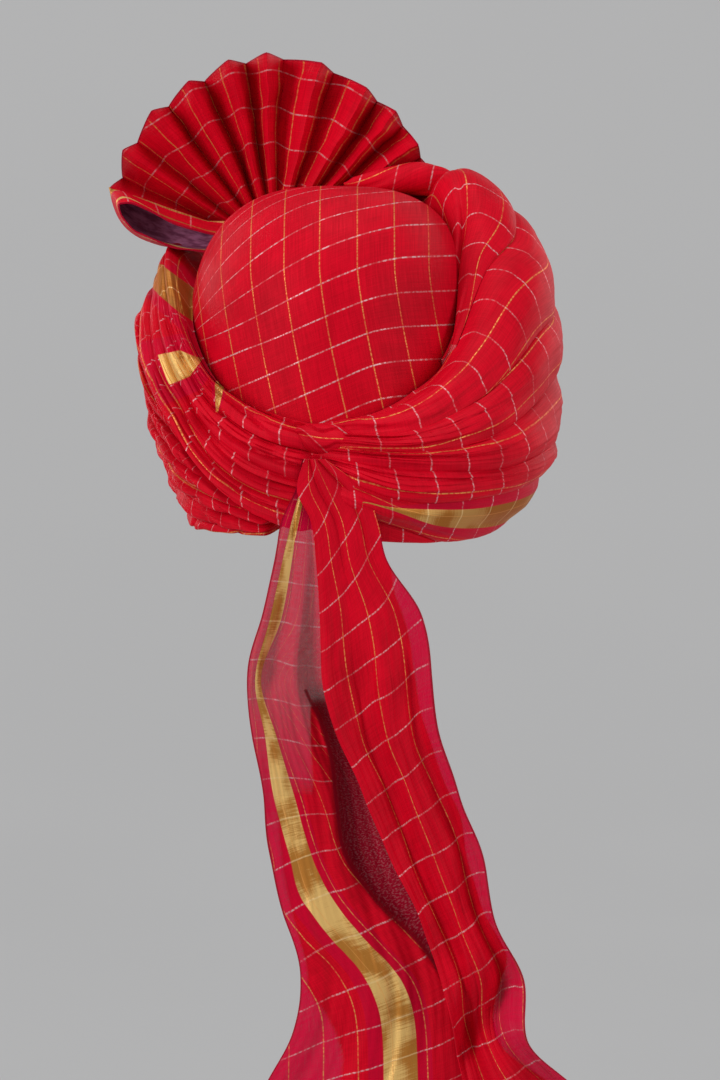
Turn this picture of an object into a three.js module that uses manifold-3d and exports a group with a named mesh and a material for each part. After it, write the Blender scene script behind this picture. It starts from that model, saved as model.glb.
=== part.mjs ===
// Tied turban of red checked silk, with a pleated fan on its crown and a long loose tail at the nape.
// Units are millimetres. +Z is up, +Y is the way the wearer faces, and +X is the wearer's right-hand side.
// The origin is the point where the top of the wearer's head touches the inside of the crown.
import * as THREE from "three";
import Module from "manifold-3d";

// Driving dimensions
const headBreadth = 164; // hollow for the head, side to side
const headLength = 196; // hollow for the head, front to back
const crownHeight = 92; // from the widest level of the head up to its top
const capWall = 3; // cloth stretched over the crown
const wrapHeight = 200; // from the top of the head down to the rim at the nape
const wrapDepth = 62; // fullest stand-off of the wraps from the crown cloth
const layerLift = 4.2; // how far the folded edge of one wrap stands over the next
const rimEdge = 8; // stand-off of the ring's turned-in lower edge from the crown cloth
const seatEdge = 3.4; // stand-off of its upper edge, where it lies against the crown cloth
const layerGap = 0.9; // clearance between neighbouring layers of cloth
const crownGap = 1.5; // clearance between the wraps and the crown cloth
const fanRadius = 127; // from the gathered root of the fan to its free edge
const clothWall = 1.6; // folded cloth of the fan and the tail
const tailDrop = 362; // from the tuck at the nape to the end of the tail
const tailWidth = 100; // width of the loose tail at its fullest

const clothRed = { color: 0xc4122a, roughness: 0.5, metalness: 0.05 };
const clothSheer = { color: 0xb8283c, roughness: 0.6, metalness: 0.05 };

const capBreadth = headBreadth / 2 + capWall;
const capLength = headLength / 2 + capWall;
const domeRise = crownHeight + capWall;
const radians = (degrees) => (degrees * Math.PI) / 180;
const mix = (a, b, share) => a + (b - a) * share;
const clamp = (x, low, high) => Math.min(high, Math.max(low, x));

// Value at x of a smooth curve through (knots[i], values[i]).
function smoothCurve(knots, values, x) {
  const last = knots.length - 1;
  let i = 0;
  while (i < last - 1 && x > knots[i + 1]) i += 1;
  const slope = (k) => {
    const before = Math.max(0, k - 1);
    const after = Math.min(last, k + 1);
    return (values[after] - values[before]) / (knots[after] - knots[before]);
  };
  const width = knots[i + 1] - knots[i];
  const u = clamp((x - knots[i]) / width, 0, 1);
  const u2 = u * u;
  const u3 = u2 * u;
  return (
    values[i] * (2 * u3 - 3 * u2 + 1) +
    values[i + 1] * (3 * u2 - 2 * u3) +
    slope(i) * width * (u3 - 2 * u2 + u) +
    slope(i + 1) * width * (u3 - u2)
  );
}

// Cross-sections of the ring of wraps, one row for each direction round the head.
// `at` is in degrees from the nape towards the wearer's right. Drops are shares of wrapHeight
// below the top of the head, and outs are shares of wrapDepth away from the crown cloth.
const ringSections = [
  { at: 0, rimDrop: 0.985, rimOut: 0.22, bellyDrop: 0.875, bellyOut: 0.42, shoulderDrop: 0.76,
    shoulderOut: 0.37, crestDrop: 0.69, crestOut: 0.24, lipDrop: 0.675, lipOut: 0.14, seatDrop: 0.675 },
  { at: 45, rimDrop: 1.01, rimOut: 0.36, bellyDrop: 0.825, bellyOut: 0.7, shoulderDrop: 0.63,
    shoulderOut: 0.62, crestDrop: 0.52, crestOut: 0.34, lipDrop: 0.51, lipOut: 0.16, seatDrop: 0.53 },
  { at: 90, rimDrop: 0.93, rimOut: 0.38, bellyDrop: 0.6, bellyOut: 0.85, shoulderDrop: 0.15,
    shoulderOut: 0.65, crestDrop: -0.045, crestOut: 0.08, lipDrop: -0.01, lipOut: -0.27, seatDrop: 0.13 },
  { at: 135, rimDrop: 0.7, rimOut: 0.3, bellyDrop: 0.45, bellyOut: 0.78, shoulderDrop: 0.12,
    shoulderOut: 0.6, crestDrop: -0.045, crestOut: 0.04, lipDrop: -0.01, lipOut: -0.3, seatDrop: 0.12 },
  { at: 180, rimDrop: 0.59, rimOut: 0.24, bellyDrop: 0.375, bellyOut: 0.55, shoulderDrop: 0.14,
    shoulderOut: 0.48, crestDrop: 0.0, crestOut: 0.12, lipDrop: 0.0, lipOut: -0.2, seatDrop: 0.13 },
  { at: 225, rimDrop: 0.7, rimOut: 0.22, bellyDrop: 0.47, bellyOut: 0.5, shoulderDrop: 0.31,
    shoulderOut: 0.44, crestDrop: 0.18, crestOut: 0.2, lipDrop: 0.17, lipOut: 0.02, seatDrop: 0.22 },
  { at: 270, rimDrop: 0.91, rimOut: 0.14, bellyDrop: 0.5, bellyOut: 0.47, shoulderDrop: 0.31,
    shoulderOut: 0.36, crestDrop: 0.235, crestOut: 0.22, lipDrop: 0.24, lipOut: 0.1, seatDrop: 0.29 },
  { at: 315, rimDrop: 0.95, rimOut: 0.16, bellyDrop: 0.79, bellyOut: 0.37, shoulderDrop: 0.65,
    shoulderOut: 0.37, crestDrop: 0.565, crestOut: 0.25, lipDrop: 0.56, lipOut: 0.14, seatDrop: 0.585 },
];
const sectionStep = 45;
// Where each of those heights lies along a section, from the rim at 0 to the seat on the crown at 1.
const sectionKnots = [0, 0.1, 0.4, 0.65, 0.83, 0.93, 1];

// A column of ringSections at any direction, on a smooth closed curve.
function ringColumn(column, degrees) {
  const turns = (((degrees % 360) + 360) % 360) / sectionStep;
  const first = Math.floor(turns);
  const rows = ringSections.length;
  const value = (k) => ringSections[(first + k + rows) % rows][column];
  return smoothCurve([-1, 0, 1, 2], [value(-1), value(0), value(1), value(2)], turns - first);
}

// The crown cloth's share of its full plan at height z.
function domeShare(z) {
  if (z <= -crownHeight) return 1;
  return Math.sqrt(Math.max(0, 1 - ((z + crownHeight) / domeRise) ** 2));
}

// Point that stands `out` from the crown cloth at height z, in a direction round the head.
function standOff(degrees, out, z) {
  const a = radians(degrees);
  const normal = new THREE.Vector3(capLength * Math.sin(a), -capBreadth * Math.cos(a), 0).normalize();
  const share = domeShare(z);
  return new THREE.Vector3(capBreadth * share * Math.sin(a), -capLength * share * Math.cos(a), z)
    .addScaledVector(normal, out);
}

// Point on the outer skin of the wraps, at share t of the section from rim to seat.
function skinPoint(degrees, t) {
  const drop = (column) => -wrapHeight * ringColumn(column, degrees);
  const share = (z) => planReach(degrees) * (1 - domeShare(z));
  const out = (column) => wrapDepth * ringColumn(column, degrees);
  const drops = [drop("rimDrop"), drop("rimDrop"), drop("bellyDrop"), drop("shoulderDrop"),
    drop("crestDrop"), drop("lipDrop"), drop("seatDrop")];
  const outs = [rimEdge, out("rimOut"), out("bellyOut"), out("shoulderOut"), out("crestOut"),
    out("lipOut"), seatEdge - share(drop("seatDrop"))];
  const z = smoothCurve(sectionKnots, drops, t);
  return standOff(degrees, smoothCurve(sectionKnots, outs, t) + share(z), z);
}

function planReach(degrees) {
  const a = radians(degrees);
  return Math.hypot(capBreadth * Math.sin(a), capLength * Math.cos(a));
}

// Point on the inside of the wraps, a clearance away from the crown cloth.
function innerPoint(degrees, t) {
  const z = -wrapHeight * mix(ringColumn("rimDrop", degrees), ringColumn("seatDrop", degrees), t);
  return standOff(degrees, crownGap, z);
}

// Point a distance `lift` beyond the skin, measured along the line out from the inside of the wraps.
function liftedPoint(degrees, t, lift) {
  const inner = innerPoint(degrees, t);
  const skin = skinPoint(degrees, t);
  return skin.addScaledVector(skin.clone().sub(inner).normalize(), lift);
}

// Length of the skin's section, which turns a clearance into a share of t.
function skinLength(degrees) {
  const steps = 12;
  let length = 0;
  for (let k = 1; k <= steps; k += 1)
    length += skinPoint(degrees, k / steps).distanceTo(skinPoint(degrees, (k - 1) / steps));
  return length;
}

// Geometry from points and triangles, turned so that its faces point out.
function facingOut(points, index) {
  let volume = 0;
  for (let i = 0; i < index.length; i += 3) {
    const [a, b, c] = [points[index[i]], points[index[i + 1]], points[index[i + 2]]];
    volume += a.dot(new THREE.Vector3().crossVectors(b, c));
  }
  if (volume < 0)
    for (let i = 0; i < index.length; i += 3)
      [index[i + 1], index[i + 2]] = [index[i + 2], index[i + 1]];
  const geometry = new THREE.BufferGeometry().setFromPoints(points);
  geometry.setIndex(index);
  return geometry;
}

// Closed sheet between two grids of points, outer(row, column) and inner(row, column).
function slab(rows, columns, outer, inner) {
  const points = [];
  for (const side of [outer, inner])
    for (let r = 0; r < rows; r += 1)
      for (let c = 0; c < columns; c += 1) points.push(side(r, c));
  const at = (side, r, c) => side * rows * columns + r * columns + c;
  const index = [];
  const quad = (a, b, c, d) => index.push(a, b, c, a, c, d);
  const lastRow = rows - 1;
  const lastColumn = columns - 1;
  for (let r = 0; r < lastRow; r += 1)
    for (let c = 0; c < lastColumn; c += 1) {
      quad(at(0, r, c), at(0, r + 1, c), at(0, r + 1, c + 1), at(0, r, c + 1));
      quad(at(1, r, c), at(1, r, c + 1), at(1, r + 1, c + 1), at(1, r + 1, c));
    }
  for (let r = 0; r < lastRow; r += 1) {
    quad(at(0, r, 0), at(1, r, 0), at(1, r + 1, 0), at(0, r + 1, 0));
    quad(at(0, r, lastColumn), at(0, r + 1, lastColumn), at(1, r + 1, lastColumn), at(1, r, lastColumn));
  }
  for (let c = 0; c < lastColumn; c += 1) {
    quad(at(0, 0, c), at(0, 0, c + 1), at(1, 0, c + 1), at(1, 0, c));
    quad(at(0, lastRow, c), at(1, lastRow, c), at(1, lastRow, c + 1), at(0, lastRow, c + 1));
  }
  return facingOut(points, index);
}

const solidTools = await Module();
solidTools.setup();

// Solid for joining and cutting, from a closed geometry.
function solid(geometry) {
  return new solidTools.Manifold(new solidTools.Mesh({
    numProp: 3,
    vertProperties: new Float32Array(geometry.attributes.position.array),
    triVerts: new Uint32Array(geometry.index.array),
  }));
}

// Geometry of the largest body left by a cut; loose slivers are dropped.
function largestBody(cut) {
  const bodies = cut.decompose().sort((a, b) => b.volume() - a.volume());
  const mesh = bodies[0].getMesh();
  const geometry = new THREE.BufferGeometry();
  geometry.setAttribute("position", new THREE.BufferAttribute(new Float32Array(mesh.vertProperties), 3));
  geometry.setIndex([...mesh.triVerts]);
  return geometry;
}

// Solid less another geometry and a clearance of layerGap round it.
function clearOf(body, other) {
  const steps = [[0, 0, 0], [1, 0, 0], [-1, 0, 0], [0, 1, 0], [0, -1, 0], [0, 0, 1], [0, 0, -1]];
  return steps.reduce((left, [x, y, z]) => {
    const moved = other.clone().translate(layerGap * x, layerGap * y, layerGap * z);
    return left.subtract(solid(moved));
  }, body);
}

const turban = new THREE.Group();

function piece(name, geometry, look) {
  const mesh = new THREE.Mesh(geometry, new THREE.MeshStandardMaterial(look));
  mesh.name = name;
  geometry.computeVertexNormals();
  turban.add(mesh);
}

// Crown cloth: a domed shell whose lower edge runs under the wraps all round.
const capTuck = 0.11; // how far the crown cloth runs under the wraps, as a share of wrapHeight
const capColumns = 32;
const capRows = 9;

function capPoint(row, column, inset) {
  const degrees = (360 * column) / capColumns;
  const rise = domeRise - inset;
  const low = -wrapHeight * (ringColumn("seatDrop", degrees) + capTuck) + crownHeight;
  const start = Math.max(-1, low / domeRise);
  const climb = mix(start, 1, row / capRows);
  const z = climb < 0 ? climb * domeRise : rise * Math.sin(0.5 * Math.PI * climb);
  const share = climb < 0 ? 1 : Math.cos(0.5 * Math.PI * climb);
  const a = radians(degrees);
  return new THREE.Vector3(
    (capBreadth - inset) * share * Math.sin(a),
    -(capLength - inset) * share * Math.cos(a),
    z - crownHeight,
  );
}

function crownCap() {
  const points = [];
  for (const inset of [0, capWall]) {
    for (let r = 0; r < capRows; r += 1)
      for (let c = 0; c < capColumns; c += 1) points.push(capPoint(r, c, inset));
    points.push(new THREE.Vector3(0, 0, capWall - inset));
  }
  const side = capRows * capColumns + 1;
  const at = (inside, r, c) => inside * side + r * capColumns + (c % capColumns);
  const index = [];
  for (const inside of [0, 1])
    for (let c = 0; c < capColumns; c += 1) {
      const faces = [[at(inside, capRows - 1, c), at(inside, capRows - 1, c + 1), (inside + 1) * side - 1]];
      for (let r = 0; r < capRows - 1; r += 1) {
        faces.push([at(inside, r, c), at(inside, r, c + 1), at(inside, r + 1, c + 1)]);
        faces.push([at(inside, r, c), at(inside, r + 1, c + 1), at(inside, r + 1, c)]);
      }
      for (const [a, b, d] of faces) index.push(...(inside ? [a, d, b] : [a, b, d]));
    }
  for (let c = 0; c < capColumns; c += 1)
    index.push(at(0, 0, c), at(1, 0, c), at(1, 0, c + 1), at(0, 0, c), at(1, 0, c + 1), at(0, 0, c + 1));
  return facingOut(points, index);
}

piece("crown_cap", crownCap(), clothRed);

// Profile of one wrap across its width: a folded lower edge that stands proud, falling to a tucked top.
const foldAcross = [0, 0.08, 0.36, 0.7, 1];
const foldLift = [-0.1, 0.8, 0.9, 0.35, -0.5];

// Grid of one wrap: low(s) and high(s) give its edges as shares of the section and turn(s, t) its
// direction. A positive `margin` widens the grid by that share, and a null one keeps the layers' gap.
function wrapGrid(stations, turn, low, high, margin = null) {
  return (r, c) => {
    const s = r / (stations - 1);
    const gap = margin === null ? (0.5 * layerGap) / skinLength(turn(s, 0.5)) : -margin;
    const from = low(s) > 0 ? low(s) + gap : 0;
    const to = high(s) < 1 ? high(s) - gap : 1;
    const t = mix(from, to, foldAcross[c]);
    const past = margin === null ? 0 : mix(-seamGap, seamGap, s);
    return [turn(s, t) + past, t];
  };
}

// Solid of one wrap, from its folded skin down to the crown cloth.
function wrap(stations, turn, low, high, lift) {
  const place = wrapGrid(stations, turn, low, high);
  const outer = (r, c) => liftedPoint(...place(r, c), lift * foldLift[c]);
  return slab(stations, foldAcross.length, outer, (r, c) => innerPoint(...place(r, c)));
}

// Point below the skin by `depth`, or by the greatest share of the ring's thickness if that is less.
const pressLimit = 0.6;

function pressedPoint(degrees, t, depth, clearance = 0) {
  const thickness = skinPoint(degrees, t).distanceTo(innerPoint(degrees, t));
  return liftedPoint(degrees, t, -Math.min(depth, pressLimit * thickness) - clearance);
}

// Room for a layer that lies in the wraps: from `floor` out to `beyond` the skin, and on past the seat.
function room(rows, columns, place, floor, beyond) {
  const reach = (point, r, c) => {
    const [degrees, t] = place(r, c);
    const here = point(degrees, t);
    if (t < 1) return here;
    const before = point(degrees, 1 - 0.02);
    return here.addScaledVector(here.clone().sub(before).normalize(), 2 * crownGap);
  };
  const outer = (degrees, t) => liftedPoint(degrees, t, beyond);
  return solid(slab(rows, columns, (r, c) => reach(outer, r, c), (r, c) => reach(floor, r, c)));
}

// Point below the inside of the wraps.
function crownSide(degrees, t) {
  const inner = innerPoint(degrees, t);
  const inward = inner.clone().sub(skinPoint(degrees, t)).normalize();
  return inner.addScaledVector(inward, 2 * crownGap);
}

const edgeRoom = 0.01; // clearance round a layer's edge, as a share of the section
const pastFolds = 2.5 * layerLift; // out past the highest fold

// The wraps from the nape round the wearer's right end at this direction, where those of the left begin.
const napeMeeting = -14;
const seamAtRim = 206;
const seamAtCrest = 168;
const seamGap = 1; // degrees between the two sets of wraps where they meet

function seamAt(t) {
  return mix(seamAtRim, seamAtCrest, t);
}

const wraps = [];

// Wraps that sweep from the nape round the wearer's right to the front. Each row is the upper edge
// of a wrap, as shares of the section in the directions of `rightAt`.
const rightAt = [-14, 0, 20, 45, 70, 90, 135, 190];
const rightEdges = [
  { name: "under_band", share: [0.45, 0.4, 0.22, 0.03, 0, 0, 0, 0] },
  { name: "hem_band", share: [0.62, 0.58, 0.4, 0.34, 0.28, 0.24, 0.22, 0.22] },
  { name: "right_wrap_1", share: [0.7, 0.66, 0.57, 0.45, 0.36, 0.3, 0.32, 0.34] },
  { name: "right_wrap_2", share: [0.77, 0.73, 0.64, 0.57, 0.5, 0.46, 0.46, 0.48] },
  { name: "right_wrap_3", share: [0.86, 0.82, 0.75, 0.72, 0.62, 0.55, 0.58, 0.6] },
  { name: "right_sweep", share: [1, 1, 1, 0.96, 0.86, 0.73, 0.76, 0.8] },
];
const sweepRow = rightEdges.length - 1;
const rightStations = 21;
const rightSpan = rightAt[rightAt.length - 1] - rightAt[0];
const rightTurn = (s, t) => mix(napeMeeting, seamAt(t) - seamGap, s);
const rightShare = (row, s) => clamp(smoothCurve(rightAt, rightEdges[row].share, rightAt[0] + s * rightSpan), 0, 1);

for (let row = 1; row < rightEdges.length; row += 1) {
  const low = (s) => rightShare(row - 1, s);
  const high = (s) => rightShare(row, s);
  wraps.push([rightEdges[row].name, wrap(rightStations, rightTurn, low, high, layerLift)]);
}

// The lowest turn shows under the hem at the nape and runs out beneath it.
const underStations = 7;
const underSpan = (underStations - 1) / (rightStations - 1);
wraps.push([rightEdges[0].name, wrap(underStations, (s, t) => rightTurn(s * underSpan, t), () => 0,
  (s) => rightShare(0, s * underSpan), layerLift)]);

// The full turn over the right side of the crown starts where the sweep leaves the crown cloth.
const puffSkip = 7; // stations of the sweep that lie before the puff
const puffStations = rightStations - puffSkip;
const puffFrom = puffSkip / (rightStations - 1);
const puffClear = 0.008; // clearance below the puff, as a share of the section
const puffTurn = (s, t) => rightTurn(mix(puffFrom, 1, s), t);
const puffEdge = (s) => rightShare(sweepRow, mix(puffFrom, 1, s)) + puffClear;
const topPuff = wrap(puffStations, puffTurn, puffEdge, () => 1, 0);
wraps.push(["top_puff", topPuff]);

// Stacked wraps of the left side, from the front seam round to the nape.
// Each row is the upper edge of a layer in the directions of `leftAt`.
const leftAt = [190, 225, 270, 290, 310, 330, 346];
const leftEdges = [
  [0.12, 0.12, 0.12, 0.13, 0.14, 0.12, 0.1],
  [0.22, 0.22, 0.19, 0.2, 0.22, 0.2, 0.16],
  [0.33, 0.31, 0.25, 0.27, 0.3, 0.28, 0.22],
  [0.44, 0.4, 0.3, 0.33, 0.38, 0.36, 0.28],
  [0.55, 0.49, 0.345, 0.39, 0.46, 0.44, 0.34],
  [0.66, 0.58, 0.395, 0.44, 0.54, 0.52, 0.4],
  [0.8, 0.74, 0.62, 0.64, 0.72, 0.7, 0.6],
];
const leftStations = 17;
const leftSpan = leftAt[leftAt.length - 1] - leftAt[0];
const leftTurn = (s, t) => mix(seamAt(t) + seamGap, 360 + napeMeeting - seamGap, s);

const leftEdge = (row, s) => (row < 0 ? 0 : smoothCurve(leftAt, leftEdges[row], leftAt[0] + s * leftSpan));

for (let row = 0; row < leftEdges.length; row += 1)
  wraps.push([`left_wrap_${row + 1}`, wrap(leftStations, leftTurn, (s) => leftEdge(row - 1, s),
    (s) => leftEdge(row, s), layerLift)]);

// The last turn of the left shows only at the front, before the bundle comes out over it.
const lastStations = 3;
const lastSpan = (lastStations - 1) / (leftStations - 1);
wraps.push(["left_front_turn", wrap(lastStations, (s, t) => leftTurn(s * lastSpan, t),
  (s) => leftEdge(leftEdges.length - 1, s * lastSpan), () => 1, layerLift)]);

// The pleated bundle of the left comes out from under the fan, runs down beside the crown and
// crosses the stacked wraps to the nape. Its lower edge, as shares of the section, for each
// direction in degrees, and the upper edges of its pleats, as shares of its width.
const bundleAt = [212, 240, 265, 285, 298, 310, 318, 332, 341, 356];
const bundleEdge = [0.86, 0.66, 0.53, 0.45, 0.46, 0.48, 0.4, 0.27, 0.2, 0.12];
const bundlePleats = [
  { name: "left_outer_roll", to: 0.24 },
  { name: "left_pleat_1", to: 0.46 },
  { name: "left_pleat_2", to: 0.68 },
  { name: "left_inner_roll", to: 1 },
];
const bundleStations = 17;
const bundleLift = 3;
const bundleTurn = (s) => mix(bundleAt[0], bundleAt[bundleAt.length - 1], s);
const bundleLow = (s) => smoothCurve(bundleAt, bundleEdge, bundleTurn(s));

const bundle = [];
let bundleRoom = null;
let pleatFrom = 0;
for (const { name, to } of bundlePleats) {
  const from = pleatFrom;
  const low = (s) => mix(bundleLow(s), 1, from);
  const high = (s) => mix(bundleLow(s), 1, to);
  bundle.push([name, wrap(bundleStations, bundleTurn, low, high, bundleLift)]);
  const grid = wrapGrid(bundleStations, bundleTurn, low, high, edgeRoom);
  const pleatRoom = room(bundleStations, foldAcross.length, grid, crownSide, pastFolds);
  bundleRoom = bundleRoom === null ? pleatRoom : bundleRoom.add(pleatRoom);
  pleatFrom = to;
}

// Knot at the nape: a bulging tuck that gathers the wraps and the bundle.
const knotFrom = -12;
const knotTo = 7;
const knotLow = 0.66;
const knotHigh = 0.93;
const knotBulge = 11;
const knotDepth = 4;
const knotSteps = 7;


// Grid of the knot, widened by shares of a degree and of the section.
function knotGrid(turn, share) {
  return (r, c) => [
    mix(knotFrom - turn, knotTo + turn, r / (knotSteps - 1)),
    mix(knotLow - share, knotHigh + share, c / (knotSteps - 1)),
  ];
}

const knotRoom = room(knotSteps, knotSteps, knotGrid(seamGap, edgeRoom),
  (degrees, t) => pressedPoint(degrees, t, knotDepth, layerGap), pastFolds);

function napeKnot() {
  const place = knotGrid(0, 0);
  const arch = (k) => Math.sin((Math.PI * k) / (knotSteps - 1));
  const outer = (r, c) => liftedPoint(...place(r, c), knotBulge * Math.sqrt(arch(r) * arch(c) + 0.01));
  const inner = (r, c) => pressedPoint(...place(r, c), knotDepth);
  return slab(knotSteps, knotSteps, outer, inner);
}

for (const [name, geometry] of wraps)
  piece(name, largestBody(solid(geometry).subtract(bundleRoom).subtract(knotRoom)), clothRed);
for (const [name, geometry] of bundle)
  piece(name, largestBody(solid(geometry).subtract(knotRoom)), clothRed);
piece("nape_knot", napeKnot(), clothRed);

// Unit normal of the path at each of its points, in the plane of the path.
function pathNormal(path, k) {
  const before = path[Math.max(0, k - 1)];
  const after = path[Math.min(path.length - 1, k + 1)];
  const length = Math.hypot(after[0] - before[0], after[1] - before[1]);
  return [-(after[1] - before[1]) / length, (after[0] - before[0]) / length];
}

// Pleated fan. Each row is the ridge of one knife pleat, from the right end of the fan to the left.
// `angle` is in degrees above the wearer's right, reach and root are shares of fanRadius.
const fanRidges = [
  { angle: 27, reach: 0.86, root: 0.5 },
  { angle: 37, reach: 0.87, root: 0.44 },
  { angle: 49, reach: 0.9, root: 0.38 },
  { angle: 60, reach: 0.91, root: 0.34 },
  { angle: 76, reach: 0.94, root: 0.3 },
  { angle: 92, reach: 0.96, root: 0.27 },
  { angle: 103, reach: 0.95, root: 0.25 },
  { angle: 117, reach: 0.92, root: 0.23 },
  { angle: 131, reach: 0.9, root: 0.21 },
  { angle: 146, reach: 0.88, root: 0.2 },
  { angle: 159, reach: 0.85, root: 0.2 },
];
const fanCentre = new THREE.Vector3(-0.412 * capBreadth, 0.495 * capLength, -0.402 * crownHeight);
const fanUnderfold = 4.5; // degrees that each valley lies to the right of its ridge
const fanDepthShare = 0.075; // depth of a pleat at the free edge, as a share of fanRadius
const fanRootDepth = 0.35; // depth of a pleat at the root, as a share of that at the edge
const fanRows = 5;

function turraFan() {
  const folds = [];
  for (const ridge of fanRidges) {
    folds.push({ ...ridge, angle: ridge.angle - fanUnderfold, side: 1, reach: 0.97 * ridge.reach });
    folds.push({ ...ridge, side: -1 });
  }
  const at = (r, c, wall) => {
    const share = r / (fanRows - 1);
    const path = folds.map((fold) => {
      const radius = fanRadius * mix(fold.root, fold.reach, share);
      const depth = fanRadius * fanDepthShare * mix(fanRootDepth, 1, share) * fold.side;
      return [radius * radians(fold.angle), depth, radius, radians(fold.angle)];
    });
    const [along, across] = pathNormal(path, c);
    const [, depth, radius, angle] = path[c];
    const turned = angle + (wall * along) / radius;
    return new THREE.Vector3(radius * Math.cos(turned), depth + wall * across, radius * Math.sin(turned))
      .add(fanCentre);
  };
  return slab(fanRows, folds.length, (r, c) => at(r, c, -0.5 * clothWall), (r, c) => at(r, c, 0.5 * clothWall));
}

piece("turra_fan", largestBody(clearOf(solid(turraFan()), topPuff)), clothRed);

// Open loop at the fan's left end: the last pleat runs out, turns under and comes back.
// Each row is a point of the loop seen from behind, as shares of loopReach from its root.
const loopReach = 66;
const loopRoot = new THREE.Vector3(-76, 39.2, -26.6);
const loopPath = [
  { out: 0.04, up: 0.1 },
  { out: 0.3, up: 0.17 },
  { out: 0.6, up: 0.29 },
  { out: 0.84, up: 0.39 },
  { out: 0.94, up: 0.36 },
  { out: 0.9, up: 0.2 },
  { out: 0.79, up: 0.05 },
  { out: 0.62, up: -0.05 },
  { out: 0.42, up: -0.11 },
  { out: 0.2, up: -0.13 },
  { out: 0.05, up: -0.12 },
];
const loopDepth = 34; // front to back
// The loop narrows towards its open mouth, about this point of its path.
const loopMouth = { out: 0.47, up: 0.1, width: 0.8, height: 0.62 };
const loopColumns = 5;

function fanCurl() {
  const path = loopPath.map(({ out, up }) => [-loopReach * out, loopReach * up]);
  const at = (r, c, wall) => {
    const [along, across] = pathNormal(path, r);
    const share = c / (loopColumns - 1);
    const midX = -loopReach * loopMouth.out;
    const midZ = loopReach * loopMouth.up;
    const x = midX + (path[r][0] - midX) * mix(1, loopMouth.width, share);
    const z = midZ + (path[r][1] - midZ) * mix(1, loopMouth.height, share);
    return new THREE.Vector3(x + wall * along, -loopDepth * share, z + wall * across).add(loopRoot);
  };
  return slab(path.length, loopColumns, (r, c) => at(r, c, 0), (r, c) => at(r, c, clothWall));
}

piece("fan_curl", fanCurl(), clothRed);

// Twisted roll along the top of the crown, from the fan's right end to the puff.
// Each row is a ring of the roll: its centre from the top of the head, and its half height.
const fanWrapRings = [
  { x: 12, y: 28, z: 5.5, half: 4.5 },
  { x: 24, y: 28, z: 5.5, half: 6 },
  { x: 38, y: 29, z: 6, half: 8 },
  { x: 52, y: 29, z: 8, half: 9 },
  { x: 66, y: 31, z: 9, half: 8 },
];
const rollSides = 10;

// Closed tube through rings given as a centre and two half-axes.
function tube(rings, sides) {
  const points = [];
  for (const { centre, wide, high } of rings)
    for (let k = 0; k < sides; k += 1) {
      const a = (2 * Math.PI * k) / sides;
      points.push(centre.clone().addScaledVector(wide, Math.cos(a)).addScaledVector(high, Math.sin(a)));
    }
  const index = [];
  for (let r = 0; r < rings.length - 1; r += 1)
    for (let k = 0; k < sides; k += 1) {
      const a = r * sides + k;
      const b = r * sides + ((k + 1) % sides);
      index.push(a, b, b + sides, a, b + sides, a + sides);
    }
  const last = (rings.length - 1) * sides;
  for (let k = 1; k < sides - 1; k += 1) {
    index.push(0, k + 1, k);
    index.push(last, last + k, last + k + 1);
  }
  return facingOut(points, index);
}

// Loose tail. Each row is a cut across it at a share of tailDrop below its tuck: the edges of the
// sheer panel and of the doubled silk panel, as shares of tailWidth to the wearer's right of the tuck,
// and how far both stand off from the nape.
const tailRows = [
  { drop: 0, sheerFrom: -0.05, sheerTo: 0.02, silkFrom: -0.04, silkTo: 0.08, stand: 0 },
  { drop: 0.048, sheerFrom: -0.09, sheerTo: 0.05, silkFrom: -0.08, silkTo: 0.31, stand: 0.005 },
  { drop: 0.096, sheerFrom: -0.17, sheerTo: 0.11, silkFrom: 0, silkTo: 0.38, stand: 0.01 },
  { drop: 0.16, sheerFrom: -0.19, sheerTo: 0.14, silkFrom: 0.03, silkTo: 0.44, stand: 0.01 },
  { drop: 0.24, sheerFrom: -0.25, sheerTo: 0.17, silkFrom: 0.05, silkTo: 0.63, stand: 0.005 },
  { drop: 0.336, sheerFrom: -0.33, sheerTo: 0.23, silkFrom: 0.07, silkTo: 0.7, stand: 0 },
  { drop: 0.432, sheerFrom: -0.3, sheerTo: 0.31, silkFrom: 0.15, silkTo: 0.74, stand: -0.01 },
  { drop: 0.528, sheerFrom: -0.25, sheerTo: 0.51, silkFrom: 0.3, silkTo: 0.85, stand: -0.01 },
  { drop: 0.624, sheerFrom: -0.22, sheerTo: 0.65, silkFrom: 0.45, silkTo: 0.99, stand: 0 },
  { drop: 0.72, sheerFrom: -0.13, sheerTo: 0.83, silkFrom: 0.63, silkTo: 1.06, stand: 0 },
  { drop: 0.816, sheerFrom: -0.01, sheerTo: 0.97, silkFrom: 0.75, silkTo: 1.23, stand: 0.01 },
  { drop: 0.912, sheerFrom: -0.11, sheerTo: 1.08, silkFrom: 0.82, silkTo: 1.24, stand: 0.02 },
  { drop: 1, sheerFrom: -0.27, sheerTo: 1.2, silkFrom: 0.89, silkTo: 1.55, stand: 0.03 },
];
const tailRoot = new THREE.Vector3(-0.1 * tailWidth, -capLength - 0.5226 * wrapDepth, -0.77 * wrapHeight);
const sheerRipples = 2.5; // waves across the sheer panel
const silkRipples = 2; // waves across the doubled panel
const rippleDepth = 0.045; // height of a wave as a share of tailWidth
const tailColumns = 13;
const panelGap = 0.05; // clearance between the hanging panels as a share of tailWidth
const tuckGap = 2.4; // from one panel to the other where both are tucked in
const tuckedDrop = 0.09; // share of tailDrop over which the panels lie flat on the wraps
const freeing = 4; // how fast the waves grow below that

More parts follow.
